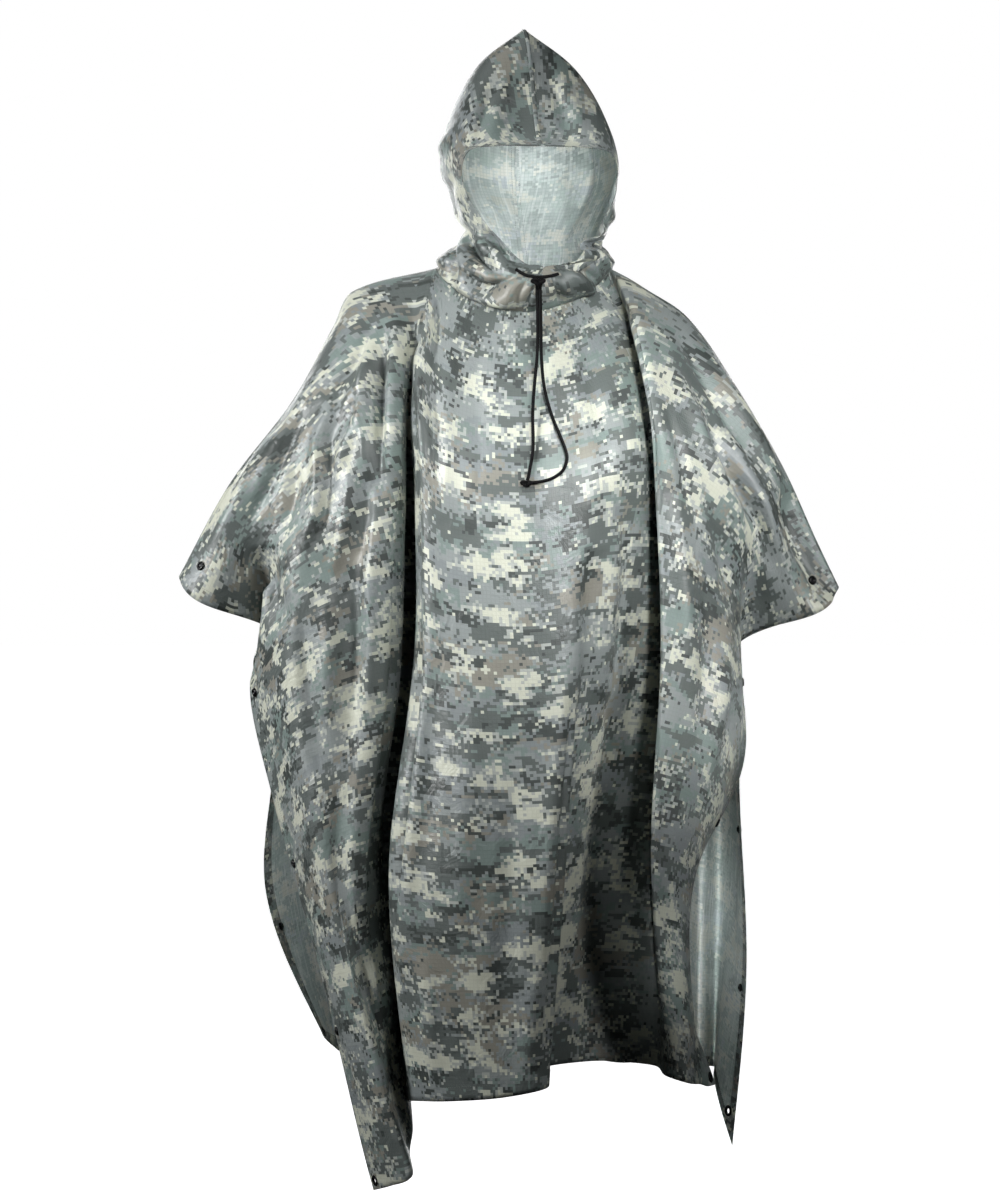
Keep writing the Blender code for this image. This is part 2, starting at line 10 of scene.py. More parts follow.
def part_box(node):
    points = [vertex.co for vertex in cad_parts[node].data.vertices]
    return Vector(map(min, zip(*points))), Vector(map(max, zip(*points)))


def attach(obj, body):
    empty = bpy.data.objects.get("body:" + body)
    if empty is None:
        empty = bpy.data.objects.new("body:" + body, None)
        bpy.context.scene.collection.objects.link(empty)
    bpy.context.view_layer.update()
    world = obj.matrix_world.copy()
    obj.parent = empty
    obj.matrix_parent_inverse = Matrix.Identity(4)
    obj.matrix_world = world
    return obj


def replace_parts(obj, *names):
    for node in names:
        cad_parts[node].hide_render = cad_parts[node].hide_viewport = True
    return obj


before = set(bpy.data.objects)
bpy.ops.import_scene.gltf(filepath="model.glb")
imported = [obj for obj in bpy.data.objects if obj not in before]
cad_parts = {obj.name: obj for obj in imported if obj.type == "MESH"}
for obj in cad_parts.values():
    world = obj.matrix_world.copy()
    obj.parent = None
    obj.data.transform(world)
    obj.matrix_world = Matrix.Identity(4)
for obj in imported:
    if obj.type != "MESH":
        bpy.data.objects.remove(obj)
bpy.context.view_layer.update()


# ---- Camera. It stands level in front of the poncho, 3.8 m from the wearer's shoulders, at the height of
# the hips, and a little to the left.
CAMERA_PLACE = (-0.033, -3.8, -0.436)
VIEW_HEIGHT = 1.596  # what the picture's long side takes in at the shoulders

lens = bpy.data.cameras.new("camera")
lens.lens = lens.sensor_width * -CAMERA_PLACE[1] / VIEW_HEIGHT
lens.clip_end = 100
camera = bpy.data.objects.new("camera", lens)
camera.location = CAMERA_PLACE
camera.rotation_euler = (math.pi / 2, 0, 0)
bpy.context.scene.collection.objects.link(camera)
bpy.context.scene.camera = camera


# ---- Studio. A plain white floor where the wearer's feet would be, white walls far off, and soft lights.
# Two keys rake the chest from the sides, so the folds' hollows and the lower half lie in deep shade. Narrow
# beams reach into the hood and the right side, and wide ones light the top and the back.
FLOOR_HEIGHT = -1.45
FLOOR_RADIUS = 60.0
WHITE, COOL_WHITE = (1.0, 1.0, 1.0), (0.98, 1.0, 1.0)
# Each is size metres across, its beam spreads by spread degrees, and its power is in watts.
Softbox = namedtuple("Softbox", "name place aim size spread power tint")
SOFTBOXES = (
    Softbox("left_key", (-2.9, -1.4, 0.5), (0.0, -0.1, -0.30), 0.8, 55, 13.5, WHITE),
    Softbox("right_key", (2.1, -2.5, 0.9), (0.05, -0.1, -0.1), 0.8, 50, 5.0, WHITE),
    Softbox("strip", (2.1, -2.3, -0.2), (0.24, -0.10, -0.60), 0.15, 7, 0.12, WHITE),
    Softbox("chest", (0.8, -3.1, 0.6), (0.13, -0.15, -0.26), 0.3, 16, 1.05, WHITE),
    Softbox("hood_inside", (0.35, -3.0, 0.0), (0.03, 0.05, 0.09), 0.08, 5, 0.029, COOL_WHITE),
    Softbox("hood_roof", (0.35, -3.0, -1.0), (0.02, 0.05, 0.14), 0.08, 4, 0.042, COOL_WHITE),
    Softbox("right_inside", (0.1, -3.2, -0.8), (0.275, 0.05, -0.88), 0.10, 5, 0.04, COOL_WHITE),
    Softbox("top", (-0.4, 0.2, 2.6), (0.0, 0.0, 0.0), 1.6, 180, 8, COOL_WHITE),
    Softbox("right_back", (0.6, 3.2, -0.6), (0.27, 0.05, -0.85), 2.4, 30, 11.0, WHITE),
    Softbox("back", (-1.0, 3.6, 0.8), (0.0, 0.0, -0.1), 2.0, 90, 16, WHITE),
)


def colour(code):
    """The linear colour of an sRGB hex code."""
    shares = [int(code[i : i + 2], 16) / 255 for i in (1, 3, 5)]
    linear = [s / 12.92 if s <= 0.04045 else ((s + 0.055) / 1.055) ** 2.4 for s in shares]
    return (*linear, 1.0)


def set_sockets(tree, node, sockets):
    """Gives each socket a value, another node's first output, or an output itself."""
    for key, value in sockets.items():
        if isinstance(value, bpy.types.Node):
            value = value.outputs[0]
        if isinstance(value, bpy.types.NodeSocket):
            tree.links.new(value, node.inputs[key])
        else:
            node.inputs[key].default_value = value


def add_node(tree, kind, settings, sockets):
    """Adds a node with its settings and sockets."""
    made = tree.nodes.new("ShaderNode" + kind)
    for name, value in settings.items():
        setattr(made, name, value)
    set_sockets(tree, made, sockets)
    return made


def new_material(name):
    """A new material, its node tree and its shader."""
    made = bpy.data.materials.new(name)
    made.use_nodes = True
    return made, made.node_tree, made.node_tree.nodes["Principled BSDF"]


bpy.ops.mesh.primitive_circle_add(
    vertices=96, radius=FLOOR_RADIUS, fill_type="NGON", location=(0, 0, FLOOR_HEIGHT)
)
floor = bpy.context.object
floor.name = "studio_floor"
floor.visible_diffuse = False
floor.visible_glossy = False
paint, paint_tree, paint_shader = new_material("white_studio_paint")
set_sockets(paint_tree, paint_shader, {
    "Base Color": colour("#EDEDED"), "Roughness": 0.9, "Specular IOR Level": 0.1,
    "Emission Color": colour("#FFFFFF"), "Emission Strength": 1.0,
})
floor.data.materials.append(paint)

walls = bpy.data.worlds.new("white_walls")
walls.use_nodes = True
walls_tree = walls.node_tree
dim = walls_tree.nodes["Background"]
set_sockets(walls_tree, dim, {"Color": (0.97, 0.99, 1.0, 1), "Strength": 0.016})
seen_white = add_node(walls_tree, "Background", {}, {"Color": (1, 1, 1, 1), "Strength": 1.0})
sort = add_node(walls_tree, "LightPath", {}, {})
either = add_node(walls_tree, "MixShader", {}, {0: sort.outputs["Is Camera Ray"], 1: dim, 2: seen_white})
set_sockets(walls_tree, walls_tree.nodes["World Output"], {"Surface": either})
bpy.context.scene.world = walls
bpy.context.scene.view_settings.view_transform = "Standard"

for box in SOFTBOXES:
    lamp = bpy.data.lights.new(box.name, "AREA")
    lamp.size = box.size
    lamp.spread = math.radians(box.spread)
    lamp.energy = box.power
    lamp.color = box.tint
    stand = bpy.data.objects.new(box.name + "_softbox", lamp)
    stand.location = box.place
    stand.rotation_mode = "QUATERNION"
    stand.rotation_quaternion = (Vector(box.aim) - Vector(box.place)).to_track_quat("-Z", "Y")
    stand.visible_camera = False
    bpy.context.scene.collection.objects.link(stand)


# ---- Front panel. Half of the poncho's body: a sheet of ripstop nylon 1.40 m wide and 1.10 m long, with
# a bow cut out for the neck and hems all round. It hangs in long flutes from the neck seam and from the
# shoulder line, and its outer corners wrap forward as short sleeves.
CLOTH_HALF_WIDTH = 0.70
CLOTH_DROP = 1.10
CLOTH_THICKNESS = 0.0007
CLOTH_OUT = 0.0006  # the cloth's inner face stands this far off the plain form's
GRID = 0.0069  # length of a mesh cell along the cloth
TOP_CROWDING = 1.15  # above 1, the rows lie closer together near the shoulders

NECK_ALONG = 0.115  # where the shoulder line reaches the neck seam, along the cloth
NECK_SIDE = NECK_ALONG / 7
NECK_CENTRE = Vector((-0.003, 0.0, 0.003))
NECK_HALF_WIDTH = 0.114
NECK_FRONT, NECK_FRONT_DROP = 0.105, 0.066
NECK_BACK, NECK_BACK_RISE = 0.100, 0.012

LEVELS = {"top": 0.0, "chest": 0.20, "waist": 0.32, "hip": 0.50, "thigh": 0.74, "hem": 1.0}
OVER_ARM = 0.05  # share of the drop that a fold line takes to turn over the arm
ARM_GATHER = 0.84  # how much later the cloth at a cuff falls than the cloth at the middle
CUFF_SAG, CUFF_SAG_AT = 0.031, 0.09  # the mouth of a sleeve hangs below its shoulder line
TOP_FADE = 0.22  # share of the drop below which the top line's own shape is gone
SHOULDER_END = 0.25  # how far along the cloth the arm begins
TOP_SPREAD = 1.5  # how fast a fold line leaves the top line sideways, less at the cuffs
NECK_BULGE = 0.6  # how fast it leaves the neck seam forwards, where the shoulder line's is 1

Station = namedtuple("Station", "name along x y z")
SHOULDER_LINE = (
    Station("left cuff", -0.700, -0.453, -0.050, -0.406),
    Station("left forearm", -0.553, -0.386, -0.045, -0.283),
    Station("left elbow", -0.410, -0.305, -0.030, -0.174),
    Station("left upper arm", -0.288, -0.251, -0.010, -0.072),
    Station("left shoulder", -0.240, -0.229, 0.000, -0.028),
    Station("left neck", -0.115, -0.117, 0.000, 0.003),
    Station("right neck", 0.115, 0.111, 0.000, 0.003),
    Station("right collar", 0.170, 0.153, 0.000, -0.022),
    Station("right shoulder", 0.247, 0.213, 0.000, -0.060),
    Station("right upper arm", 0.360, 0.273, -0.010, -0.145),
    Station("right elbow", 0.503, 0.337, -0.030, -0.258),
    Station("right forearm", 0.623, 0.382, -0.040, -0.358),
    Station("right cuff", 0.700, 0.411, -0.045, -0.420),
)

# A row is one fold line from the top line to the hem: where it starts along the cloth, its (x, y) at
# each level, and the height of its end on the hem.
Fold = namedtuple("Fold", "name along chest waist hip thigh hem hem_z")
FRONT_FOLDS = (
    Fold("left side edge", -0.70, (-0.328, -0.020), (-0.363, -0.010), (-0.332, -0.010),
         (-0.261, -0.040), (-0.196, -0.080), -1.204),
    Fold("left side hem", -0.65, (-0.335, -0.047), (-0.354, -0.037), (-0.324, -0.037),
         (-0.258, -0.068), (-0.182, -0.104), -1.196),
    Fold("left under sleeve", -0.58, (-0.343, -0.075), (-0.342, -0.075), (-0.315, -0.070),
         (-0.256, -0.090), (-0.172, -0.120), -1.190),
    Fold("left sleeve lip", -0.42, (-0.291, -0.115), (-0.300, -0.125), (-0.290, -0.120),
         (-0.232, -0.135), (-0.147, -0.150), -1.174),
    Fold("left side", -0.27, (-0.226, -0.125), (-0.226, -0.130), (-0.223, -0.128),
         (-0.223, -0.125), (-0.151, -0.110), -1.148),
    Fold("left of valley", -0.17, (-0.164, -0.140), (-0.162, -0.138), (-0.166, -0.132),
         (-0.198, -0.125), (-0.148, -0.090), -1.125),
    Fold("left valley", -0.14, (-0.150, -0.108), (-0.148, -0.088), (-0.147, -0.074),
         (-0.168, -0.062), (-0.151, -0.056), -1.096),
    Fold("left lip", -NECK_ALONG, (-0.142, -0.150), (-0.137, -0.165), (-0.137, -0.172),
         (-0.170, -0.170), (-0.146, -0.125), -1.080),
    Fold("left chest", -4 * NECK_SIDE, (-0.103, -0.168), (-0.099, -0.182), (-0.099, -0.190),
         (-0.121, -0.197), (-0.100, -0.168), -1.073),
    Fold("middle", 0.0, (0.005, -0.185), (0.005, -0.198), (-0.002, -0.207),
         (-0.027, -0.210), (-0.027, -0.185), -1.065),
    Fold("middle lip", 3 * NECK_SIDE, (0.075, -0.180), (0.068, -0.192), (0.059, -0.203),
         (0.045, -0.203), (0.025, -0.180), -1.054),
    Fold("behind middle lip", 4 * NECK_SIDE, (0.099, -0.176), (0.089, -0.182), (0.071, -0.178),
         (0.041, -0.140), (0.019, -0.090), -1.044),
    Fold("hollow", 5 * NECK_SIDE, (0.132, -0.162), (0.135, -0.150), (0.131, -0.120),
         (0.110, -0.065), (0.098, -0.034), -1.044),
    Fold("behind right lip", 6 * NECK_SIDE, (0.165, -0.130), (0.183, -0.105), (0.192, -0.080),
         (0.193, -0.048), (0.171, -0.030), -1.050),
    Fold("right lip", NECK_ALONG, (0.156, -0.158), (0.167, -0.165), (0.174, -0.168),
         (0.161, -0.160), (0.185, -0.090), -1.054),
    Fold("right side", 0.25, (0.210, -0.145), (0.222, -0.150), (0.226, -0.152),
         (0.193, -0.135), (0.213, -0.100), -1.062),
    Fold("right under sleeve", 0.50, (0.280, -0.105), (0.275, -0.085), (0.274, -0.080),
         (0.214, -0.090), (0.227, -0.078), -1.067),
    Fold("right side hem", 0.65, (0.284, -0.048), (0.283, -0.036), (0.281, -0.036),
         (0.205, -0.070), (0.237, -0.064), -1.072),
    Fold("right side edge", 0.70, (0.286, -0.020), (0.287, -0.008), (0.286, -0.008),
         (0.193, -0.045), (0.249, -0.040), -1.074),
)

# A crease is a soft ridge, or a trough if its height is below 0, drawn as someone sees it from one side:
# (x, z) from the front and back, (y, z) from the left and right.
Crease = namedtuple("Crease", "seen height width points")


def creases_from(seen, rows):
    """Creases seen from one side, each row its height, its width and its points, in millimetres."""
    return [
        Crease(seen, height / 1000, width / 1000, [(a / 1000, z / 1000) for a, z in points])
        for height, width, *points in rows
    ]


FRONT_CREASES = creases_from("front", (
    # The two deep folds that hang from the sides of the neck.
    (-17, 8, (-147, -140), (-147, -230), (-146, -340), (-145, -450), (-147, -550), (-157, -660),
     (-170, -780), (-184, -920)),
    (-22, 20, (-166, -270), (-165, -380), (-165, -520), (-176, -660), (-192, -800), (-204, -920)),
    (-10, 6, (98, -20), (112, -36), (129, -56), (140, -90), (148, -135), (156, -190), (161, -245),
     (164, -310)),
    (-18, 12, (146, -380), (149, -440), (151, -500), (150, -610), (147, -730), (142, -860), (138, -990)),
    (-18, 18, (134, -310), (134, -400), (131, -490), (126, -580), (120, -680)),
    (-30, 30, (122, -560), (116, -700), (108, -840), (102, -960), (100, -1050)),
    # From the left shoulder down the side of the sleeve.
    (-9, 6, (-112, -55), (-116, -90), (-120, -130)),
    (11, 9, (-200, -80), (-204, -140), (-206, -200), (-204, -290)),
    (-16, 10, (-184, -70), (-188, -140), (-190, -210), (-189, -310)),
    (12, 8, (-168, -60), (-171, -130), (-173, -200), (-172, -280)),
    (-8, 8, (-119, -165), (-115, -215), (-112, -285)),
    (-7, 7, (-130, -92), (-146, -106), (-162, -126)),
    (9, 9, (-176, -60), (-186, -100), (-206, -148), (-236, -190), (-266, -228)),
    (-9, 7, (-198, -60), (-208, -100), (-232, -140), (-262, -175)),
    (9, 7, (-200, -170), (-216, -208), (-232, -240), (-252, -275)),
    (-11, 10, (-236, -160), (-244, -200), (-255, -224), (-253, -250), (-254, -290), (-258, -325),
     (-272, -372)),
    (9, 9, (-250, -165), (-258, -205), (-268, -235), (-266, -275), (-270, -325), (-286, -370)),
    (8, 10, (-262, -130), (-296, -190), (-326, -250), (-356, -310)),
    (-9, 9, (-284, -185), (-312, -240), (-340, -300), (-366, -345)),
    (7, 10, (-320, -210), (-352, -262), (-384, -322), (-410, -375)),
    (-18, 18, (-340, -365), (-338, -405), (-328, -440), (-312, -475)),
    (-7, 8, (-300, -250), (-300, -300), (-312, -350)),
    (7, 8, (-225, -265), (-228, -310), (-238, -360), (-250, -400)),
    # Down the left side.
    (-9, 8, (-208, -260), (-206, -320), (-212, -390)),
    (11, 10, (-194, -330), (-198, -420), (-199, -500), (-206, -590)),
    (-10, 15, (-226, -340), (-222, -440), (-222, -530), (-230, -640)),
    (8, 12, (-256, -400), (-252, -470), (-256, -540), (-262, -600)),
    (-8, 10, (-288, -440), (-284, -510), (-276, -570), (-258, -640)),
    (-6, 12, (-292, -600), (-268, -640), (-244, -660)),
    (7, 14, (-210, -620), (-218, -720), (-220, -820), (-208, -920)),
    (-7, 11, (-240, -680), (-242, -770), (-234, -860), (-216, -960)),
    (6, 10, (-196, -900), (-190, -990), (-180, -1070)),
    (-6, 8, (-176, -960), (-170, -1040), (-166, -1120)),
    # Over the chest and down the front.
    (-6, 12, (60, -78), (80, -140), (94, -220), (100, -300)),
    (5, 14, (30, -80), (34, -160), (26, -250), (10, -340)),
    (-5, 12, (-50, -80), (-62, -160), (-64, -260), (-70, -380)),
    (6, 10, (-88, -70), (-98, -150), (-100, -240), (-98, -330)),
    (-9, 15, (84, -370), (84, -430), (87, -500)),
    (5, 12, (112, -330), (116, -420), (112, -520)),
    (-10, 6, (62, -520), (56, -620), (46, -735), (40, -830), (29, -960), (24, -1050)),
    (5, 10, (44, -540), (38, -640), (29, -750), (22, -850)),
    (5, 18, (-60, -500), (-68, -630), (-80, -760), (-88, -900)),
    (-5, 16, (-14, -620), (-18, -750), (-26, -880), (-34, -1000)),
    (-5, 14, (-118, -480), (-120, -600), (-128, -720), (-140, -840)),
    (6, 10, (-126, -880), (-122, -970), (-114, -1060)),
    (5, 10, (10, -900), (4, -980), (-2, -1050)),
    # From the right shoulder down the sleeve.
    (-12, 8, (200, -90), (226, -134), (248, -172), (276, -218), (305, -285)),
    (10, 9, (228, -100), (258, -148), (286, -196), (315, -246), (338, -305)),
    (10, 10, (180, -120), (208, -180), (232, -240), (262, -300), (288, -370)),
    (-13, 9, (232, -205), (262, -270), (298, -330), (322, -400)),
    (-7, 8, (176, -180), (192, -230), (204, -290), (222, -350)),
    (-9, 8, (330, -275), (350, -325), (364, -385)),
    (7, 8, (300, -290), (322, -340), (344, -405)),
    (-8, 8, (236, -330), (252, -375), (262, -430)),
    (-24, 26, (352, -290), (372, -350), (384, -400), (392, -440)),
    (12, 14, (262, -215), (290, -280), (312, -350), (318, -430)),
    # Down the right side.
    (8, 12, (190, -300), (200, -390), (204, -480), (198, -580)),
    (-8, 10, (226, -400), (232, -480), (228, -560), (214, -650)),
    (7, 10, (252, -440), (256, -520), (246, -600), (226, -680)),
    (-6, 8, (182, -620), (180, -700), (172, -780)),
    (-7, 9, (166, -800), (184, -850), (200, -900)),
    (6, 9, (180, -900), (194, -960), (212, -1030)),
))


def hermite(start, end, leave, arrive, share):
    """A cubic between two values, with the slopes it leaves and arrives with."""
    s, s2, s3 = share, share * share, share**3
    return (
        start * (2 * s3 - 3 * s2 + 1) + leave * (s3 - 2 * s2 + s)
        + end * (3 * s2 - 2 * s3) + arrive * (s3 - s2)
    )


def through(knots, values, where, leave=None):
    """A smooth curve through values at rising knots; leave is its slope at the first one."""
    last = len(knots) - 1
    i = min(max(sum(knot <= where for knot in knots) - 1, 0), last - 1)
    slopes = []
    for k in (i, i + 1):
        if k == 0 and leave is not None:
            slopes.append(leave)
            continue
        a, b = max(k - 1, 0), min(k + 1, last)
        slopes.append((values[b] - values[a]) / (knots[b] - knots[a]))
    span = knots[i + 1] - knots[i]
    share = (where - knots[i]) / span
    return hermite(values[i], values[i + 1], slopes[0] * span, slopes[1] * span, share)


def between(points, i, share):
    """A point of the centripetal curve through points, at share of the way from point i to the next."""
    near = points[i], points[i + 1]
    before = points[i - 1] if i else near[0] * 2 - near[1]
    after = points[i + 2] if i + 2 < len(points) else near[1] * 2 - near[0]
    spans = [
        max(math.sqrt((b - a).length), 1e-4)
        for a, b in ((before, near[0]), near, (near[1], after))
    ]
    leave, arrive = (
        (b - a) / p - (c - a) / (p + q) + (c - b) / q
        for a, b, c, p, q in (
            (before, near[0], near[1], spans[0], spans[1]),
            (near[0], near[1], after, spans[1], spans[2]),
        )
    )
    return hermite(near[0], near[1], leave * spans[1], arrive * spans[1], share)


def neck_point(along, front):
    """A point of the neck seam; along runs from -NECK_ALONG at the left shoulder to NECK_ALONG."""
    angle = along / NECK_ALONG * math.pi / 2
    reach, rise = (-NECK_FRONT, -NECK_FRONT_DROP) if front else (NECK_BACK, NECK_BACK_RISE)
    out = max(math.cos(angle), 0)
    return NECK_CENTRE + Vector((NECK_HALF_WIDTH * math.sin(angle), reach * out, rise * out**1.5))


def top_point(along, front):
    """A point of a panel's top line: the shoulder line outside the neck, the neck seam within it."""
    if abs(along) < NECK_ALONG - 1e-6:
        return neck_point(along, front)
    side = [s for s in SHOULDER_LINE if s.along * along > 0]
    return through([s.along for s in side], [Vector((s.x, s.y, s.z)) for s in side], along)


def arm_share(along):
    """0 on the body, rising to 1 at a cuff."""
    return min(max((abs(along) - SHOULDER_END) / (CLOTH_HALF_WIDTH - SHOULDER_END), 0), 1)


def fallen(along, down):
    """Share of a fold line's height that is behind it at down, which is a share of its length."""
    turn = OVER_ARM if abs(along) >= NECK_ALONG else 0
    share = down * down / (down + turn) * (1 + turn) if turn else down
    return share - ARM_GATHER * arm_share(along) * share * (1 - share) ** 2


def fold_point(fold, down, front):
    """A point of one fold line."""
    start = top_point(fold.along, front)
    stops = [start.xy] + [Vector(getattr(fold, level)) for level in list(LEVELS)[1:]]
    forward = -1 if front else 1
    on_neck = abs(fold.along) < NECK_ALONG
    leave = Vector((
        (TOP_SPREAD - arm_share(fold.along)) * (stops[1].x - start.x) / LEVELS["chest"],
        forward * (NECK_BULGE if on_neck else 1.0) * CLOTH_DROP,
    ))
    xy = through(list(LEVELS.values()), stops, down, leave)
    near_cuff = down / CUFF_SAG_AT
    sag = CUFF_SAG * arm_share(fold.along) ** 2 * near_cuff * math.exp(1 - near_cuff)
    return Vector((*xy, start.z + (fold.hem_z - start.z) * fallen(fold.along, down) - sag))


def panel_form(folds, front):
    """A panel's plain form as rows of points."""
    columns = []
    for i, (fold, following) in enumerate(zip(folds, folds[1:])):
        apart = [
            (fold_point(fold, down, front) - fold_point(following, down, front)).length
            for down in LEVELS.values()
        ]
        count = math.ceil(max(apart) / GRID)
        columns += [(i, k / count) for k in range(count)]
    columns.append((len(folds) - 2, 1.0))
    tops = [top_point(f.along, front) for f in folds]
    moved = [
        top_point(folds[i].along + share * (folds[i + 1].along - folds[i].along), front)
        - between(tops, i, share)
        for i, share in columns
    ]
    rows = round(CLOTH_DROP / GRID)
    form = np.empty((rows + 1, len(columns), 3))
    for row in range(rows + 1):
        down = (row / rows) ** TOP_CROWDING
        lines = [fold_point(fold, down, front) for fold in folds]
        near_top = max(1 - down / TOP_FADE, 0) ** 2
        for column, (i, share) in enumerate(columns):
            form[row, column] = between(lines, i, share) + moved[column] * near_top
    return form


def outward(form, turned):
    """The unit normals of a grid of points."""
    normal = np.cross(np.gradient(form, axis=0), np.gradient(form, axis=1))
    normal /= np.maximum(np.linalg.norm(normal, axis=-1, keepdims=True), 1e-12)
    return -normal if turned else normal


def reach_along(form, axis):
    """How far along the cloth each point is from the first one of its row (axis 1) or column (axis 0)."""
    steps = np.linalg.norm(np.diff(form, axis=axis), axis=-1)
    start = np.zeros_like(steps.take([0], axis=axis))
    return np.concatenate([start, np.cumsum(steps, axis=axis)], axis=axis)


CUT_ROUNDS = 500  # by then the places on the cut have settled


def place_on_cut(form, normal, level_share):
    """Where each point lies on the cut cloth, in metres, with as little stretch as the form allows.

    The cloth's crosswise threads are level where level_share is 1, and follow the rows where it is 0.
    """
    row_way = np.gradient(form, axis=1)
    row_way /= np.linalg.norm(row_way, axis=-1, keepdims=True)
    level = np.cross((0, 0, 1), normal)
    level /= np.linalg.norm(level, axis=-1, keepdims=True) + 1e-9
    level *= np.sign((level * row_way).sum(axis=-1, keepdims=True))
    way = level * level_share + row_way * (1 - level_share)
    way /= np.linalg.norm(way, axis=-1, keepdims=True)
    rise = np.cross(normal, way)
    rise *= -np.sign((rise * np.gradient(form, axis=0)).sum(axis=-1, keepdims=True))
    links = (
        (np.s_[:, :-1], np.s_[:, 1:]), (np.s_[:-1], np.s_[1:]),
        (np.s_[:-1, :-1], np.s_[1:, 1:]), (np.s_[:-1, 1:], np.s_[1:, :-1]),
    )

    def gathered(steps):
        total = np.zeros((*form.shape[:2], 2))
        for (a, b), step in zip(links, steps):
            total[a] -= step
            total[b] += step
        return total

    wanted = []
    for a, b in links:
        step = form[b] - form[a]
        wanted.append(
            np.stack([(step * (d[a] + d[b]) / 2).sum(axis=-1) for d in (way, rise)], axis=-1)
        )
    place = np.stack([reach_along(form, 1), -reach_along(form, 0)], axis=-1)
    left = gathered(wanted) - gathered([place[b] - place[a] for a, b in links])
    search = left.copy()
    size = (left * left).sum(axis=(0, 1))
    for _ in range(CUT_ROUNDS):
        spread = gathered([search[b] - search[a] for a, b in links])
        step = size / (search * spread).sum(axis=(0, 1))
        place += step * search
        left -= step * spread
        size, before = (left * left).sum(axis=(0, 1)), size
        search = left + size / before * search
    return place - place[0, form.shape[1] // 2]


# The side that a crease is seen from: the axis that its points give besides z, and the way the side faces.
VIEWS = {
    "front": (0, (0, -1, 0)), "back": (0, (0, 1, 0)), "left": (1, (-1, 0, 0)), "right": (1, (1, 0, 0)),
}
CREASE_STEPS = 5  # straight stretches between two points of a crease
CREASE_TAPER = 0.7  # below 1, a crease keeps its height nearer to its ends
CREASE_WRAP = 3  # above 1, a crease keeps its height further round from the side it is seen from


def crease_height(form, normal, creases):
    """How far the creases lift each point: a bell across each, fading towards its ends."""
    height = np.zeros(form.shape[:2])
    for crease in creases:
        axis, towards = VIEWS[crease.seen]
        spots = form[..., (axis, 2)]
        knots = [Vector(point) for point in crease.points]
        path = np.array([
            between(knots, i, k / CREASE_STEPS)
            for i in range(len(knots) - 1)
            for k in range(CREASE_STEPS)
        ] + [knots[-1]])
        spans = np.linalg.norm(np.diff(path, axis=0), axis=1)
        starts = np.concatenate([[0], np.cumsum(spans)])
        nearest = np.full(height.shape, np.inf)
        share = np.zeros(height.shape)
        for a, b, start, span in zip(path, path[1:], starts, spans):
            way = np.clip((spots - a) @ (b - a) / span**2, 0, 1)
            distance = np.linalg.norm(spots - a - way[..., None] * (b - a), axis=-1)
            closer = distance < nearest
            nearest[closer] = distance[closer]
            share[closer] = ((start + way * span) / starts[-1])[closer]
        facing = np.clip(normal @ np.array(towards) * CREASE_WRAP, 0, 1)
        ends = np.clip(np.sin(np.pi * share), 0, 1) ** CREASE_TAPER
        height += crease.height * np.exp(-((nearest / crease.width) ** 2)) * ends * facing
    return height


HEM = 0.020
SEAM = 0.010
HEM_LIFT, HEM_STEP = 0.0007, 0.0012  # how high a turned edge stands, and how gently it ends
GROOVE_DEPTH, GROOVE_WIDTH = 0.0007, 0.0022
STITCH_INSET = 0.002  # from the fold or cut edge of what a row of stitches holds down


def hem_height(from_edge, width):
    """A turned edge stitched down: a little thicker than the cloth, with a groove at its stitches."""
    on_hem = 1 / (1 + np.exp((from_edge - width) / HEM_STEP))
    groove = np.exp(-(((from_edge - width + STITCH_INSET) / GROOVE_WIDTH) ** 2))
    return HEM_LIFT * on_hem - GROOVE_DEPTH * groove


def add_piece(name, mesh, looks):
    """Adds a mesh as a smooth piece of the poncho."""
    mesh.shade_smooth()
    for look in looks:
        mesh.materials.append(look)
    made = bpy.data.objects.new(name, mesh)
    bpy.context.scene.collection.objects.link(made)
    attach(made, "root")
    return made


def add_cloth(name, points, cut, turned, outer, inner, hemmed=None):
    """A thin sheet on a grid of points, with its place on the cut cloth as its UV map, in metres.

    Where hemmed is true the cloth is turned in, so its outer look shows on the inside as well.
    """
    rows, columns = points.shape[:2]
    corner = np.arange(rows * columns).reshape(rows, columns)
    round_face = [corner[:-1, :-1], corner[1:, :-1], corner[1:, 1:], corner[:-1, 1:]]
    faces = np.stack(round_face[::-1] if turned else round_face, axis=-1).reshape(-1, 4)
    mesh = bpy.data.meshes.new(name)
    mesh.from_pydata(points.reshape(-1, 3).tolist(), [], faces.tolist())
    layer = mesh.uv_layers.new(name="cut")
    layer.data.foreach_set("uv", cut.reshape(-1, 2)[faces.ravel()].astype(np.float32).ravel())
    made = add_piece(name, mesh, (outer, inner, outer, outer))
    if hemmed is not None:
        on_hem = (hemmed[:-1, :-1] & hemmed[1:, 1:]).ravel()
        mesh.polygons.foreach_set("material_index", (on_hem * 2).astype(np.int32))
    wall = made.modifiers.new("cloth", "SOLIDIFY")
    wall.thickness = CLOTH_THICKNESS
    wall.offset = 1
    wall.material_offset = 1
    return made


# Ripstop nylon, woven with a thicker thread every 5 mm, printed on its outer face and coated inside. The
# print is a generic pixel camouflage: each patch paints its tone on the 3.8 mm squares of the cloth where
# a noise, drawn out sideways, is over a limit, and a second noise in short dashes frays its edges.
PRINT_PIXEL = 0.0038
DASH = (1.1, 1, 1)  # in squares
RIPSTOP_SQUARE = 0.005
STREAKS = (170.0, 9.0, 1)  # pale streaks to a metre, across and down
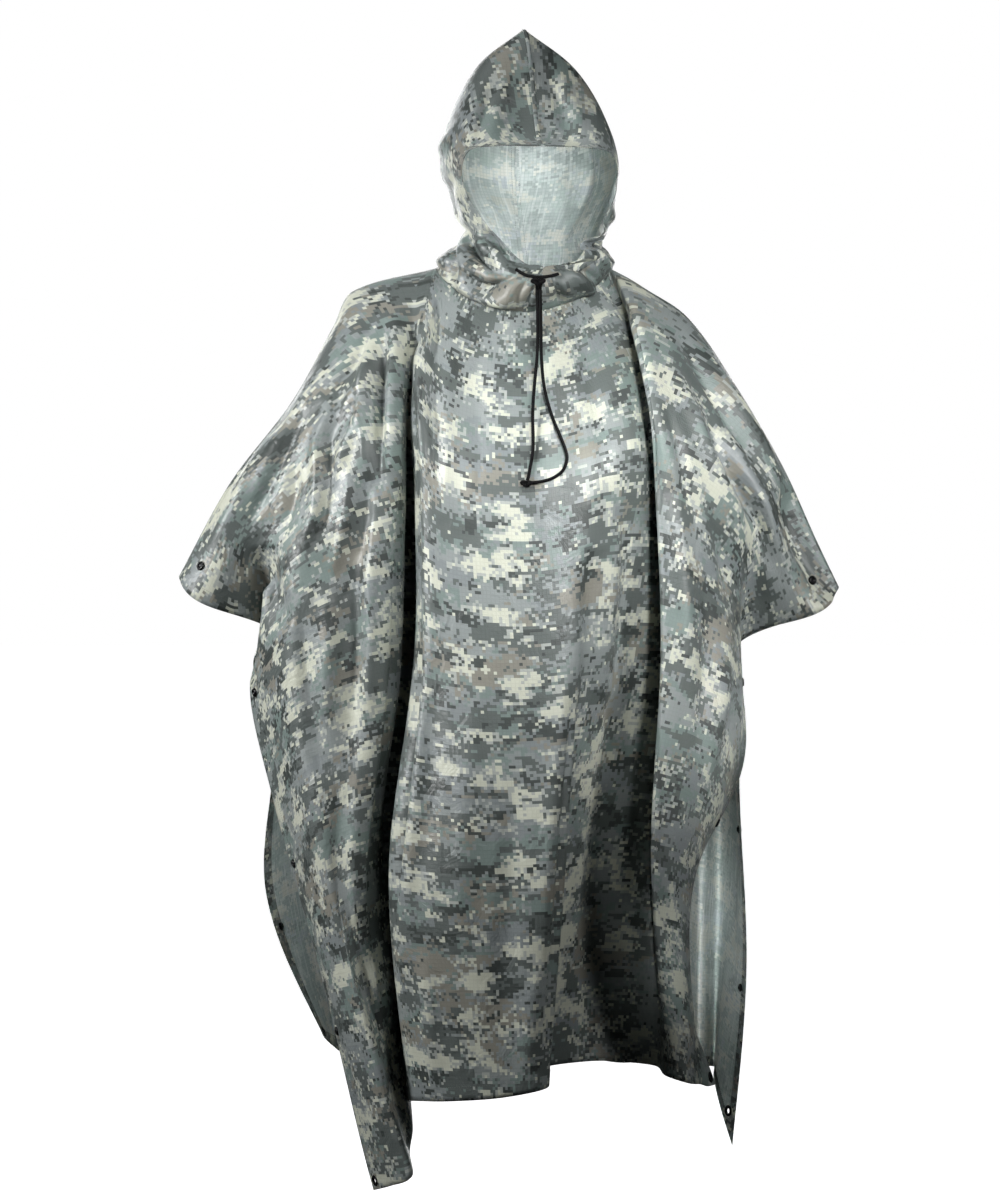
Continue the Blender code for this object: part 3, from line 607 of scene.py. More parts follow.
# across and down count the patches to a metre, and ragged is how far the dashes move the limit.
Patch = namedtuple("Patch", "tone across down seed over ragged")
PATCHES = (
    Patch("teal", 5.5, 10.5, 1.7, 0.51, 0.06),
    Patch("blue", 6.5, 12.0, 5.3, 0.55, 0.06),
    Patch("warm", 7.0, 13.0, 9.1, 0.57, 0.06),
    Patch("dark", 13.0, 24.0, 13.9, 0.53, 0.06),
    Patch("deep", 14.5, 27.0, 51.3, 0.59, 0.06),
    Patch("pale", 12.5, 22.5, 21.3, 0.55, 0.06),
    Patch("cream", 12.5, 22.5, 21.3, 0.585, 0.06),
    Patch("cream", 30.0, 52.0, 33.7, 0.655, 0.08),
    Patch("dark", 32.0, 56.0, 41.1, 0.655, 0.08),
)
OUTER_TONES = {
    "ground": "#838A89", "teal": "#72807C", "blue": "#7A8182", "warm": "#807F76",
    "dark": "#585F5D", "deep": "#3F4543", "pale": "#9FA49F", "cream": "#BDC0B1",
}
INNER_TONES = {
    "ground": "#CDD6D3", "teal": "#C1CDC9", "blue": "#C7CFD1", "warm": "#CFD3CC",
    "dark": "#BCC6C4", "deep": "#B1BBB9", "pale": "#DAE0DC", "cream": "#E2E4DC",
}


def compute(tree, kind, operation, *inputs):
    """Adds a Math or VectorMath node with its inputs in order."""
    return add_node(tree, kind, {"operation": operation}, dict(enumerate(inputs)))


def blend(tree, share, low, high, way="MIX"):
    """The colour between two others; share is how much of the second one shows."""
    mixed = add_node(tree, "Mix", {"data_type": "RGBA", "blend_type": way}, {0: share, 6: low, 7: high})
    return mixed.outputs[2]


def ripstop(name, tones, roughness, painted_thread_shade, through_share, through_depth, streaked=False):
    """One face of the cloth. Light comes through it by through_share, spread over through_depth, and the
    grid's thicker threads are darkened by a painted shade.
    """
    made, tree, shader = new_material(name)
    place = add_node(tree, "UVMap", {"uv_map": "cut"}, {})
    pixels = compute(tree, "VectorMath", "DIVIDE", place, (PRINT_PIXEL,) * 3)
    pixel = compute(tree, "VectorMath", "FLOOR", pixels)
    dash = compute(tree, "VectorMath", "FLOOR", compute(tree, "VectorMath", "DIVIDE", pixel, DASH))
    printed = colour(tones["ground"])
    for patch in PATCHES:
        scale = (patch.across * PRINT_PIXEL, patch.down * PRINT_PIXEL, 1)
        shift = (patch.seed, patch.seed * 1.7, 0)
        cloud = add_node(tree, "TexNoise", {"noise_dimensions": "2D"}, {
            "Vector": compute(tree, "VectorMath", "MULTIPLY_ADD", pixel, scale, shift),
            "Scale": 1.0, "Detail": 6.0, "Roughness": 0.71,
        })
        shifted = compute(tree, "VectorMath", "ADD", dash, (patch.seed, 0.5, 0))
        fray = add_node(tree, "TexWhiteNoise", {"noise_dimensions": "2D"}, {"Vector": shifted})
        frayed = compute(tree, "Math", "MULTIPLY_ADD", fray, patch.ragged, cloud)
        inside = compute(tree, "Math", "GREATER_THAN", frayed, patch.over + patch.ragged / 2)
        printed = blend(tree, inside, printed, colour(tones[patch.tone]))
    squares = compute(tree, "VectorMath", "DIVIDE", place, (RIPSTOP_SQUARE,) * 3)
    square = add_node(tree, "SeparateXYZ", {}, {0: compute(tree, "VectorMath", "FRACTION", squares)})
    either_way = compute(tree, "Math", "MAXIMUM", square.outputs[0], square.outputs[1])
    thread = add_node(tree, "MapRange", {"interpolation_type": "SMOOTHSTEP"},
                      {"Value": either_way, "From Min": 0.72, "From Max": 0.90})
    # Painted shade: the grid's thicker threads are multiplied darker in the colour, for the light that they
    # hold back where it comes through the cloth.
    shaded = blend(tree, thread, printed, painted_thread_shade, "MULTIPLY")
    if streaked:
        streak = add_node(tree, "TexNoise", {"noise_dimensions": "2D"}, {
            "Vector": compute(tree, "VectorMath", "MULTIPLY", place, STREAKS),
            "Scale": 1.0, "Detail": 3.0, "Roughness": 0.6,
        })
        # Pale streaks are mixed towards near-white where a drawn-out noise is high.
        pale_streak = add_node(tree, "MapRange", {},
                         {"Value": streak, "From Min": 0.54, "From Max": 0.74, "To Max": 0.55})
        shaded = blend(tree, pale_streak, shaded, colour("#F2F6F4"))
    rumple = add_node(tree, "TexNoise", {"noise_dimensions": "2D"},
                      {"Vector": place, "Scale": 34.0, "Detail": 4.0, "Roughness": 0.55, "Distortion": 0.6})
    rumpled = add_node(tree, "Bump", {}, {"Strength": 0.55, "Distance": 0.004, "Height": rumple})
    woven = add_node(tree, "Bump", {},
                     {"Strength": 0.35, "Distance": 0.0003, "Height": thread, "Normal": rumpled})
    set_sockets(tree, shader, {
        "Base Color": shaded, "Normal": woven, "Roughness": roughness, "IOR": 1.5,
        "Subsurface Weight": through_share, "Subsurface Radius": (1.0, 1.0, 1.0),
        "Subsurface Scale": through_depth, "Sheen Weight": 0.05, "Sheen Roughness": 0.4,
    })
    return made


# The back panel is sheerer, so that daylight from behind brightens its inside.
# The grey at the end of each face's look is the painted shade that darkens the grid's thicker threads.
outer_look = (OUTER_TONES, 0.44, (0.94, 0.94, 0.94, 1))
outer_face = ripstop("printed_ripstop_nylon", *outer_look, 0.1, 0.0006)
sheer_face = ripstop("sheer_printed_ripstop_nylon", *outer_look, 0.9, 0.0030)
inner_face = ripstop("coated_ripstop_nylon", INNER_TONES, 0.60, (0.84, 0.87, 0.87, 1), 0.8, 0.0024,
                     streaked=True)

BACK_PRINT_SHIFT = 2.3  # the back is cut from another stretch of the print
SEWN_FLAT = 0.02  # creases and hems fade out over this much cloth below the top line
# How level the crosswise threads hang far down, how much less at the top, and over what length of cloth.
LEVEL_LOW, LEVEL_LOST, LEVEL_FADE = 0.75, 0.60, 0.42


def eased(share):
    """Rises softly from 0 to 1 as share does, and stays there."""
    share = np.clip(share, 0, 1)
    return share * share * (3 - 2 * share)


def finish_panel(name, folds, creases, front):
    """The panel's sheet, its outer face as points, their normals, and how far they are along the cloth."""
    form = panel_form(folds, front)
    normal = outward(form, not front)
    across, down = reach_along(form, 1), reach_along(form, 0)
    from_side = np.minimum(across, across[:, -1:] - across)
    from_edge = np.minimum(from_side, down[-1:] - down)
    lift = (crease_height(form, normal, creases) + hem_height(from_edge, HEM)) * eased(down / SEWN_FLAT)
    if front:
        lift += hem_height(down, SEAM)
    points = form + normal * (CLOTH_OUT + lift)[..., None]
    level_share = LEVEL_LOW - LEVEL_LOST * np.exp(-((down / LEVEL_FADE) ** 2))
    cut = place_on_cut(points, outward(points, not front), level_share[..., None])
    cut += 0.0 if front else BACK_PRINT_SHIFT
    cloth = add_cloth(name, points, cut, not front, outer_face if front else sheer_face, inner_face,
                      from_edge < HEM)
    return cloth, points, normal, across, down


front_cloth, front_points, front_normal, front_across, front_down = finish_panel(
    "front_cloth", FRONT_FOLDS, FRONT_CREASES, True
)
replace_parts(front_cloth, "front_panel")


# ---- Back panel. The other half of the body, cut like the front one, sewn to it along the shoulder line.
# It hangs free in flutes from the shoulders, and its left side swings out past the front panel.
BACK_FOLDS = (
    Fold("left side edge", -0.70, (-0.326, 0.004), (-0.360, 0.006), (-0.334, 0.010),
         (-0.345, 0.030), (-0.268, 0.050), -1.025),
    Fold("left side hem", -0.64, (-0.330, 0.032), (-0.352, 0.033), (-0.328, 0.037),
         (-0.333, 0.055), (-0.263, 0.077), -1.036),
    Fold("left under sleeve", -0.56, (-0.335, 0.060), (-0.345, 0.060), (-0.322, 0.062),
         (-0.322, 0.080), (-0.258, 0.100), -1.045),
    Fold("left side ridge", -0.46, (-0.305, 0.096), (-0.305, 0.102), (-0.295, 0.110),
         (-0.290, 0.132), (-0.252, 0.150), -1.060),
    Fold("left side valley", -0.36, (-0.262, 0.094), (-0.258, 0.090), (-0.252, 0.086),
         (-0.250, 0.086), (-0.225, 0.092), -1.062),
    Fold("left ridge", -0.25, (-0.210, 0.114), (-0.212, 0.130), (-0.210, 0.152),
         (-0.208, 0.182), (-0.195, 0.205), -1.075),
    Fold("left valley", -NECK_ALONG, (-0.145, 0.114), (-0.150, 0.112), (-0.152, 0.106),
         (-0.152, 0.098), (-0.148, 0.092), -1.066),
    Fold("left back", -3 * NECK_SIDE, (-0.072, 0.148), (-0.077, 0.165), (-0.080, 0.184),
         (-0.083, 0.204), (-0.088, 0.219), -1.077),
    Fold("middle valley", 0.0, (-0.002, 0.136), (-0.005, 0.132), (-0.010, 0.122),
         (-0.017, 0.110), (-0.020, 0.100), -1.064),
    Fold("right back", 3 * NECK_SIDE, (0.070, 0.148), (0.073, 0.167), (0.073, 0.188),
         (0.068, 0.208), (0.064, 0.220), -1.078),
    Fold("right valley", NECK_ALONG, (0.138, 0.112), (0.142, 0.109), (0.142, 0.103),
         (0.138, 0.094), (0.135, 0.088), -1.066),
    Fold("right ridge", 0.25, (0.198, 0.110), (0.206, 0.128), (0.209, 0.150),
         (0.206, 0.178), (0.202, 0.198), -1.077),
    Fold("right side valley", 0.36, (0.238, 0.092), (0.242, 0.089), (0.243, 0.084),
         (0.240, 0.082), (0.236, 0.084), -1.070),
    Fold("right side ridge", 0.46, (0.262, 0.094), (0.266, 0.100), (0.268, 0.108),
         (0.268, 0.130), (0.262, 0.142), -1.080),
    Fold("right under sleeve", 0.57, (0.285, 0.055), (0.284, 0.056), (0.282, 0.060),
         (0.284, 0.072), (0.256, 0.085), -1.084),
    Fold("right side hem", 0.64, (0.284, 0.032), (0.285, 0.034), (0.283, 0.040),
         (0.287, 0.050), (0.263, 0.058), -1.120),
    Fold("right side edge", 0.70, (0.284, 0.004), (0.285, 0.006), (0.285, 0.012),
         (0.295, 0.022), (0.277, 0.030), -1.167),
)
BACK_CREASES = creases_from("back", (
    (7.5, 11, (200, -60), (236, -150), (258, -240), (266, -340)),
    (-7.5, 10, (222, -110), (262, -200), (292, -280), (318, -350)),
    (6, 12, (262, -150), (302, -230), (345, -310), (375, -380)),
    (-6.7, 11, (170, -80), (182, -170), (180, -260), (172, -340)),
    (6, 13, (110, -40), (122, -140), (110, -240), (100, -350)),
    (-6, 12, (50, -30), (40, -120), (30, -220), (34, -310)),
    (5.3, 12, (-20, -30), (-34, -130), (-40, -230)),
    (-6, 12, (-80, -40), (-104, -140), (-110, -250), (-100, -370)),
    (7.5, 12, (-165, -50), (-176, -150), (-172, -260), (-166, -360)),
    (-7.5, 10, (-215, -70), (-246, -160), (-262, -250), (-272, -350)),
    (6.7, 12, (-250, -110), (-292, -200), (-330, -280), (-370, -350)),
    (-6, 10, (-290, -180), (-330, -250), (-372, -320), (-405, -380)),
    (6.7, 16, (-110, -430), (-120, -560), (-114, -700), (-122, -840)),
    (-6.7, 14, (-60, -540), (-52, -660), (-60, -800), (-52, -930)),
    (6, 15, (20, -480), (12, -600), (22, -740), (14, -900)),
    (-6.7, 13, (105, -460), (98, -600), (106, -720), (100, -860)),
    (6, 16, (180, -420), (172, -540), (176, -680), (168, -800)),
    (-6, 12, (245, -480), (250, -600), (242, -720), (248, -850)),
    (-6.7, 13, (-240, -450), (-232, -570), (-244, -700), (-236, -830)),
    (6, 13, (-310, -430), (-300, -540), (-306, -660), (-290, -780)),
    (5.3, 14, (60, -820), (52, -920), (56, -1010)),
    (-5.3, 14, (-180, -780), (-172, -890), (-180, -990)),
))
back_cloth, back_points, back_normal, back_across, back_down = finish_panel(
    "back_cloth", BACK_FOLDS, BACK_CREASES, False
)
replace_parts(back_cloth, "back_panel")


# ---- Hood. Two halves of the same cloth, joined under the chin and over the crown, and sewn to the neck.
# It stands open as if worn, turned a little to the right, and its front edge holds the drawstring.
Section = namedtuple("Section", "name share front front_turn side back")
HOOD_SECTIONS = (
    Section("neck seam", 0.00, (0.000, -0.105, -0.063), 0, (0.114, 0.000, 0.003), (0.100, 0.015)),
    Section("collar", 0.10, (0.000, -0.132, -0.034), 5, (0.106, 0.000, 0.028), (0.102, 0.032)),
    Section("chin seam", 0.18, (0.000, -0.122, -0.009), 5, (0.092, 0.003, 0.047), (0.102, 0.045)),
    Section("chin", 0.23, (0.029, -0.112, 0.000), 20, (0.088, 0.004, 0.058), (0.102, 0.054)),
    Section("cheek", 0.36, (0.064, -0.098, 0.038), 50, (0.102, 0.006, 0.090), (0.116, 0.088)),
    Section("temple", 0.52, (0.098, -0.082, 0.098), 75, (0.117, 0.010, 0.135), (0.130, 0.132)),
    Section("forehead", 0.70, (0.094, -0.094, 0.142), 70, (0.104, 0.015, 0.200), (0.126, 0.182)),
    Section("upper crown", 0.86, (0.052, -0.113, 0.148), 45, (0.062, 0.018, 0.275), (0.122, 0.212)),
    Section("crown seam", 1.00, (0.000, -0.120, 0.149), 90, (0.000, 0.020, 0.324), (0.112, 0.238)),
)
HOOD_TURN = math.radians(8)
HOOD_SHIFT = 0.012  # sideways, above the collar
HOOD_LEAN = -0.012  # sideways, at the tip
HOOD_HEIGHT = 0.324
HOOD_FULLNESS = 1.2  # length of the front tangents against the chord
HOOD_ROUNDNESS = 1.5  # length of the rear tangents against the chord, near a quarter ellipse's
HOOD_COLUMNS, HOOD_ROWS = 136, 124
HOOD_FREE = 0.25  # share of the height where the hood's shift, lean and turn are whole
PUCKER = 0.004  # the drawstring gathers the hood's edge from the chin to the cheek
PUCKER_FROM, PUCKER_REACH = 0.04, 0.40  # shares of the hood's height
PUCKER_PERIOD, PUCKER_FADE = 0.13, 0.14  # shares of the hood's height and of a section's length
CASING = 0.016
FACE_FROM = 0.045  # how far above the neck seam the face opening begins
CHIN_FADE = 0.010  # over how much cloth the casing begins, and creases fade out by the seam under the chin
SMOOTH_BY_SEAM = 0.012  # creases fade out over this much cloth next to a seam
HOOD_PRINT_SHIFT = 0.52  # each half is cut from another stretch of the print
HOOD_CREASES = creases_from("front", (
    # The collar sags over the neck seam, and its cloth is gathered by the two ends of the drawstring.
    (14, 11, (-90, -6), (-80, -30), (-64, -47), (-44, -54), (-24, -48), (-4, -40), (10, -36)),
    (11, 10, (6, -36), (34, -32), (58, -32), (80, -24), (100, -4)),
    (-10, 7, (-78, -10), (-64, -26), (-46, -34), (-26, -30)),
    (-16, 7, (-86, 32), (-93, 12), (-94, -14), (-90, -42)),
    (10, 7, (-80, 40), (-82, 18), (-76, -4), (-66, -18)),
    (-12, 6, (-76, 40), (-66, 20), (-54, 4), (-40, -10), (-22, -18)),
    (11, 6, (-66, 44), (-54, 26), (-40, 10), (-24, 0)),
    (-9, 5, (-52, 44), (-40, 28), (-26, 12), (-14, 2)),
    (-10, 5, (-10, -18), (-26, -24), (-44, -30), (-60, -42)),
    (-9, 5, (4, -22), (-6, -36), (-18, -56)),
    (8, 5, (12, -24), (10, -40), (4, -58)),
    (-9, 5, (32, -22), (40, -36), (42, -56)),
    (9, 6, (42, -14), (60, -18), (78, -30), (88, -46)),
    (-12, 6, (44, -6), (64, -6), (84, -14), (100, -30)),
    (10, 6, (48, 2), (68, 10), (90, 12), (108, 0)),
    (-11, 6, (60, 12), (78, 26), (98, 30), (114, 22)),
    (8, 6, (74, 26), (92, 44), (110, 52)),
    # Over the crown.
    (-6, 8, (-66, 150), (-56, 190), (-40, 240)),
    (5, 10, (-44, 158), (-36, 205), (-22, 260)),
    (5, 9, (78, 160), (64, 210), (40, 262)),
    (-5, 8, (60, 158), (46, 210), (26, 266)),
)) + creases_from("left", (
    # Round the left side, towards the back.
    (-7, 6, (-85, 34), (-50, 30), (-8, 36), (50, 60)),
    (7, 8, (-80, 18), (-45, 10), (0, 14), (55, 34)),
    (6, 10, (-75, 60), (-30, 64), (30, 86)),
    (-5, 10, (-70, 110), (-20, 104), (40, 124)),
    (5, 12, (-60, 180), (-10, 166), (50, 180)),
    (6, 7, (88, 190), (94, 125), (86, 55)),
)) + creases_from("right", (
    # Round the right side.
    (-7, 6, (-85, 36), (-50, 28), (-6, 34), (45, 56)),
    (7, 8, (-80, 16), (-45, 6), (2, 12), (50, 30)),
    (6, 10, (-75, 64), (-30, 70), (30, 90)),
    (-5, 10, (-70, 116), (-20, 110), (36, 130)),
    (8, 7, (84, 200), (92, 130), (84, 60)),
)) + creases_from("back", (
    # Up the back.
    (-6, 10, (-50, 24), (-44, 70), (-50, 130)),
    (6, 10, (44, 20), (54, 76), (48, 136)),
    (5, 9, (-10, 30), (-4, 70), (-8, 120)),
))


def hood_turned(point, up_share):
    """The hood's shift, lean and turn about the neck, all of which fade out at the neck seam."""
    free = eased(up_share / HOOD_FREE)
    turned = Matrix.Rotation(HOOD_TURN * free, 3, "Z") @ point
    lean = HOOD_LEAN * max(point.z, 0) / HOOD_HEIGHT
    return turned + Vector(((HOOD_SHIFT + lean) * free, 0, 0))


def pucker(round_share, up_share):
    """How far the gathered edge of the hood stands out there."""
    height = min(max((up_share - PUCKER_FROM) / PUCKER_REACH, 0), 1)
    wave = math.cos(2 * math.pi * up_share / PUCKER_PERIOD)
    return PUCKER * math.sin(math.pi * height) * wave * math.exp(-round_share / PUCKER_FADE)


def hood_section(up_share):
    """The ends, middle and front direction of one half's section."""
    knots = [s.share for s in HOOD_SECTIONS]
    front = through(knots, [Vector(s.front) for s in HOOD_SECTIONS], up_share)
    middle = through(knots, [Vector(s.side) for s in HOOD_SECTIONS], up_share)
    back = through(knots, [Vector((0, *s.back)) for s in HOOD_SECTIONS], up_share)
    turn = math.radians(through(knots, [float(s.front_turn) for s in HOOD_SECTIONS], up_share))
    return front, middle, back, Vector((math.cos(turn), math.sin(turn), 0))


def hood_point(side, round_share, up_share, section):
    """A point of one hood half; side is -1 or 1, round_share runs from its front edge to its back seam."""
    if up_share == 0:
        along = side * NECK_ALONG * 2 * min(round_share, 1 - round_share)
        return neck_point(along, front=round_share < 0.5)
    front, middle, back, out = section
    if round_share < 0.5:
        chord = (middle - front).length * HOOD_FULLNESS
        point = hermite(front, middle, out * chord, Vector((0, chord, 0)), round_share * 2)
    else:
        away = Vector((0, (back.y - middle.y) * HOOD_ROUNDNESS, 0))
        home = Vector((-middle.x * HOOD_ROUNDNESS, 0, 0))
        point = hermite(middle, back, away, home, round_share * 2 - 1)
    point += Vector((out.y, -out.x, 0)) * pucker(round_share, up_share)
    point.x = max(point.x, 0) * side
    return hood_turned(point, up_share)


def add_hood_half(name, side):
    """A hood half: its sheet, its outer face, the normals, and how far points are across and up."""
    form = np.empty((HOOD_ROWS + 1, HOOD_COLUMNS + 1, 3))
    for row in range(HOOD_ROWS + 1):
        up_share = 1 - row / HOOD_ROWS
        section = hood_section(up_share)
        for column in range(HOOD_COLUMNS + 1):
            form[row, column] = hood_point(side, column / HOOD_COLUMNS, up_share, section)
    normal = outward(form, side < 0)
    normal[0] = normal[1]
    across = reach_along(form, 1)
    up = reach_along(form[::-1], 0)[::-1]
    open_edge = np.clip((up[:, :1] - FACE_FROM) / CHIN_FADE, 0, 1)
    from_seams = np.minimum(up, np.minimum(up[:1] - up, across[:, -1:] - across)) / SMOOTH_BY_SEAM
    from_chin_seam = np.where(open_edge > 0, 1, across / CHIN_FADE)
    lift = crease_height(form, normal, HOOD_CREASES)
    lift *= np.clip(np.minimum(from_seams, from_chin_seam), 0, 1)
    lift += hem_height(across, CASING) * open_edge
    lift += hem_height(up, SEAM) + hem_height(across[:, -1:] - across, SEAM / 2)
    points = form + normal * (CLOTH_OUT + lift)[..., None]
    cut = place_on_cut(points, outward(points, side < 0), 0.0) * (side, 1)
    cut += side * HOOD_PRINT_SHIFT
    cloth = add_cloth(name, points, cut, side < 0, outer_face, inner_face,
                      (across < CASING) & (open_edge > 0.5))
    return cloth, points, normal, across, up


hood = {}
for side_name, side in (("left", -1), ("right", 1)):
    hood[side_name] = add_hood_half(f"hood_{side_name}_cloth", side)
    half = hood[side_name][0]
    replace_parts(half, f"hood_{side_name}")


# ---- Seams and stitches. The panels are felled together along the shoulders and the hood's halves over
# the crown, down the back and under the chin. Grey-green polyester thread runs in rows of 3 mm stitches
# along these seams, the hems, the neck seam and the drawstring's casing.
STITCH_PITCH = 0.0030
STITCH_LENGTH, STITCH_WIDTH, STITCH_HEIGHT = 0.0024, 0.00055, 0.00035
STITCH_SUNK = 0.00005  # how deep its ends go below the row
ROW_CLEAR = 0.0001  # a row lies this far off the cloth's face
SEAM_WIDTH, SEAM_HEIGHT = 0.006, 0.0006
SEAM_RISE = (-0.2, 1.0, 1.2, 1.2, 1.0, -0.2)  # across the strip, in seam heights
CHIN_SEAM_TOP = 0.050  # how far above the neck seam the strip under the chin ends


def sewing_thread():
    """Spun polyester: matt and grey-green, twisted at a slant every 0.4 mm; the twist is painted as slanted
    bands of highlight and shade.
    """
    made, tree, shader = new_material("spun_polyester_thread")
    place = add_node(tree, "TexCoord", {}, {})
    twist = add_node(tree, "TexWave", {"bands_direction": "DIAGONAL"},
                     {"Vector": place.outputs["Object"], "Scale": 800.0, "Distortion": 1.0})
    # Painted highlight and shade: the thread is lighter and darker in slanted bands where the ridges of its
    # twist would catch the light.
    tone = blend(tree, twist, colour("#4E5652"), colour("#7C857E"))
    set_sockets(tree, shader, {"Base Color": tone, "Roughness": 0.7})
    return made


def row_where(measure, value, points, normal, axis):
    """The points and normals along a grid where measure, which rises along axis, reaches value."""
    lines = []
    for i in range(points.shape[1 - axis]):
        take = (slice(None), i) if axis == 0 else (i, slice(None))
        run = measure[take]
        if run[0] <= value <= run[-1]:
            both = np.concatenate([points[take], normal[take]], axis=1)
            lines.append([np.interp(value, run, column) for column in both.T])
    lines = np.array(lines)
    return lines[:, :3], lines[:, 3:]


def add_stitches(name, rows, look):
    """Stitches along rows of (points, normals): slim eight-sided beads, half sunk in the cloth."""
    verts, faces = [], []
    half_length = STITCH_LENGTH / 2
    for points, normal in rows:
        gone = np.concatenate([[0], np.cumsum(np.linalg.norm(np.diff(points, axis=0), axis=1))])
        stops = np.arange(STITCH_PITCH / 2, gone[-1], STITCH_PITCH)
        at = [
            np.stack([np.interp(stops + shift, gone, c) for c in points.T], axis=1)
            for shift in (-half_length, 0, half_length)
        ]
        out = np.stack([np.interp(stops, gone, c) for c in normal.T], axis=1)
        out /= np.linalg.norm(out, axis=1, keepdims=True)
        ahead = at[2] - at[0]
        ahead /= np.linalg.norm(ahead, axis=1, keepdims=True) + 1e-9
        aside = np.cross(ahead, out) * STITCH_WIDTH / 2
        above = out * STITCH_HEIGHT
        sunk = out * STITCH_SUNK
        for spots in zip(at[0] - sunk, at[2] - sunk,
                         at[1] + aside, at[1] + above, at[1] - aside, at[1] - above):
            first = len(verts)
            verts.extend(spots)
            ring = range(first + 2, first + 6)
            for k in range(4):
                faces.append((first, ring[k], ring[(k + 1) % 4]))
                faces.append((first + 1, ring[(k + 1) % 4], ring[k]))
    mesh = bpy.data.meshes.new(name)
    mesh.from_pydata([tuple(v) for v in verts], [], faces)
    return add_piece(name, mesh, [look])


def add_seam(name, left, right, inside, look):
    """A raised strip over a seam between two edges, each given as (points, normals) of three lines."""
    lines = left[::-1] + right
    rise = np.array(SEAM_RISE) * SEAM_HEIGHT
    heights = -rise if inside else rise + CLOTH_THICKNESS
    grid = np.stack([points + normal * h for (points, normal), h in zip(lines, heights)], axis=1)
    facing = np.cross(grid[1, 0] - grid[0, 0], grid[0, 1] - grid[0, 0]) @ lines[0][1][0]
    cut = np.stack([reach_along(grid, 1), reach_along(grid, 0)], axis=-1)
    made = add_cloth(name, grid, cut, (facing < 0) != inside, look, look)
    made.modifiers["cloth"].thickness = SEAM_HEIGHT
    made.modifiers["cloth"].offset = -1
    return made


def edge_lines(points, normal, inset, axis):
    """Three lines along a grid's first edge across an axis: on it, half way in and all the way in."""
    edge, inner, out = points.take(0, axis), points.take(2, axis), normal.take(0, axis)
    way = inner - edge
    way /= np.linalg.norm(way, axis=1, keepdims=True) + 1e-9
    return [(edge + way * inset * k / 2, out) for k in range(3)]


thread = sewing_thread()
faces_of_cloth = (CLOTH_THICKNESS + ROW_CLEAR, -ROW_CLEAR)
for panel_name, points, normal, across, down in (
    ("front", front_points, front_normal, front_across, front_down),
    ("back", back_points, back_normal, back_across, back_down),
):
    from_right = (across[:, -1:] - across)[:, ::-1]
    lines = [
        row_where(across, HEM - STITCH_INSET, points, normal, 1),
        row_where(from_right, HEM - STITCH_INSET, points[:, ::-1], normal[:, ::-1], 1),
        row_where(-(down[-1:] - down), STITCH_INSET - HEM, points, normal, 0),
    ]
    if panel_name == "front":
        lines += [
            row_where(down, STITCH_INSET, points, normal, 0),
            row_where(down, SEAM - STITCH_INSET, points, normal, 0),
        ]
    rows = [(p + n * out, n) for p, n in lines for out in faces_of_cloth]
    add_stitches(f"{panel_name}_stitches", rows, thread)

for side_name, (half, points, normal, across, up) in hood.items():
    casing, casing_normal = row_where(across, CASING - STITCH_INSET, points, normal, 1)
    above_chin = casing[:, 2] > 0.0
    from_back = (across[:, -1:] - across)[:, ::-1]
    lines = [
        (casing[above_chin], casing_normal[above_chin]),
        row_where(up[::-1], SEAM - STITCH_INSET, points[::-1], normal[::-1], 0),
        row_where(up[::-1], STITCH_INSET, points[::-1], normal[::-1], 0),
        row_where(up[:1] - up, SEAM / 2, points, normal, 0),
        row_where(from_back, SEAM / 2, points[:, ::-1], normal[:, ::-1], 1),
    ]
    rows = [(p + n * out, n) for p, n in lines for out in faces_of_cloth]
    add_stitches(f"hood_{side_name}_stitches", rows, thread)

below_opening = hood["left"][4][:, 0] < CHIN_SEAM_TOP
for seam_name, axis in (("crown", 0), ("chin", 1)):
    edges = []
    for _, points, normal, *_ in hood.values():
        lines = edge_lines(points, normal, SEAM_WIDTH / 2, axis)
        if seam_name == "chin":
            lines = [(p[below_opening], n[below_opening]) for p, n in lines]
        edges.append(lines)
    add_seam(f"{seam_name}_seam", *edges, False, outer_face)
    add_seam(f"{seam_name}_seam_inside", *edges, True, inner_face)


# ---- Drawstring. A round braided cord, 4 mm thick, that runs through the hood's casing. It comes out at
# both sides of the chin, crosses it into a knot, and its two ends hang down the chest to a second knot.
CORD_RADIUS = 0.002
CORD_CLEAR = 0.0003
CORD_STEP = 0.010
# Knots and routes as someone sees them from the front, (x, z); halves are half sizes (x, y, z).
CHIN_KNOT = (0.0158, -0.0290)
END_KNOT = (0.0000, -0.2890)
CHIN_KNOT_HALF = (0.0105, 0.0050, 0.0055)
END_KNOT_HALF = (0.0085, 0.0045, 0.0050)
CHIN_CORD = (
    (-0.0125, -0.0110), (0.0000, -0.0190), (0.0155, -0.0220), (0.0290, -0.0210), (0.0420, -0.0170),
)
DRAWSTRING_LEFT = (
    (0.0144, -0.0380), (0.0152, -0.0900), (0.0142, -0.1260), (0.0110, -0.1600), (0.0085, -0.1972),
    (0.0085, -0.2465), (0.0030, -0.2800),
)
DRAWSTRING_RIGHT = (
    (0.0185, -0.0380), (0.0193, -0.0900), (0.0196, -0.1260), (0.0234, -0.1660), (0.0327, -0.2023),
    (0.0453, -0.2338), (0.0517, -0.2553), (0.0460, -0.2730), (0.0302, -0.2835), (0.0130, -0.2875),
)
STRANDS = 8
BRAID_PITCH = 0.009  # one turn of a strand
BRAID_RELIEF = 0.00022
BRAID_STEP = 0.0007
KNOT_STEPS = 48
KNOT_INSET = 0.98 * CORD_RADIUS  # how far inside a knot's size its cord's middle keeps
KNOT_EXIT = 0.6  # how far below the chin knot's middle the ends come out, in its half heights

bpy.context.view_layer.update()
graph = bpy.context.evaluated_depsgraph_get()
chest_cloths = [front_cloth, hood["left"][0], hood["right"][0]]


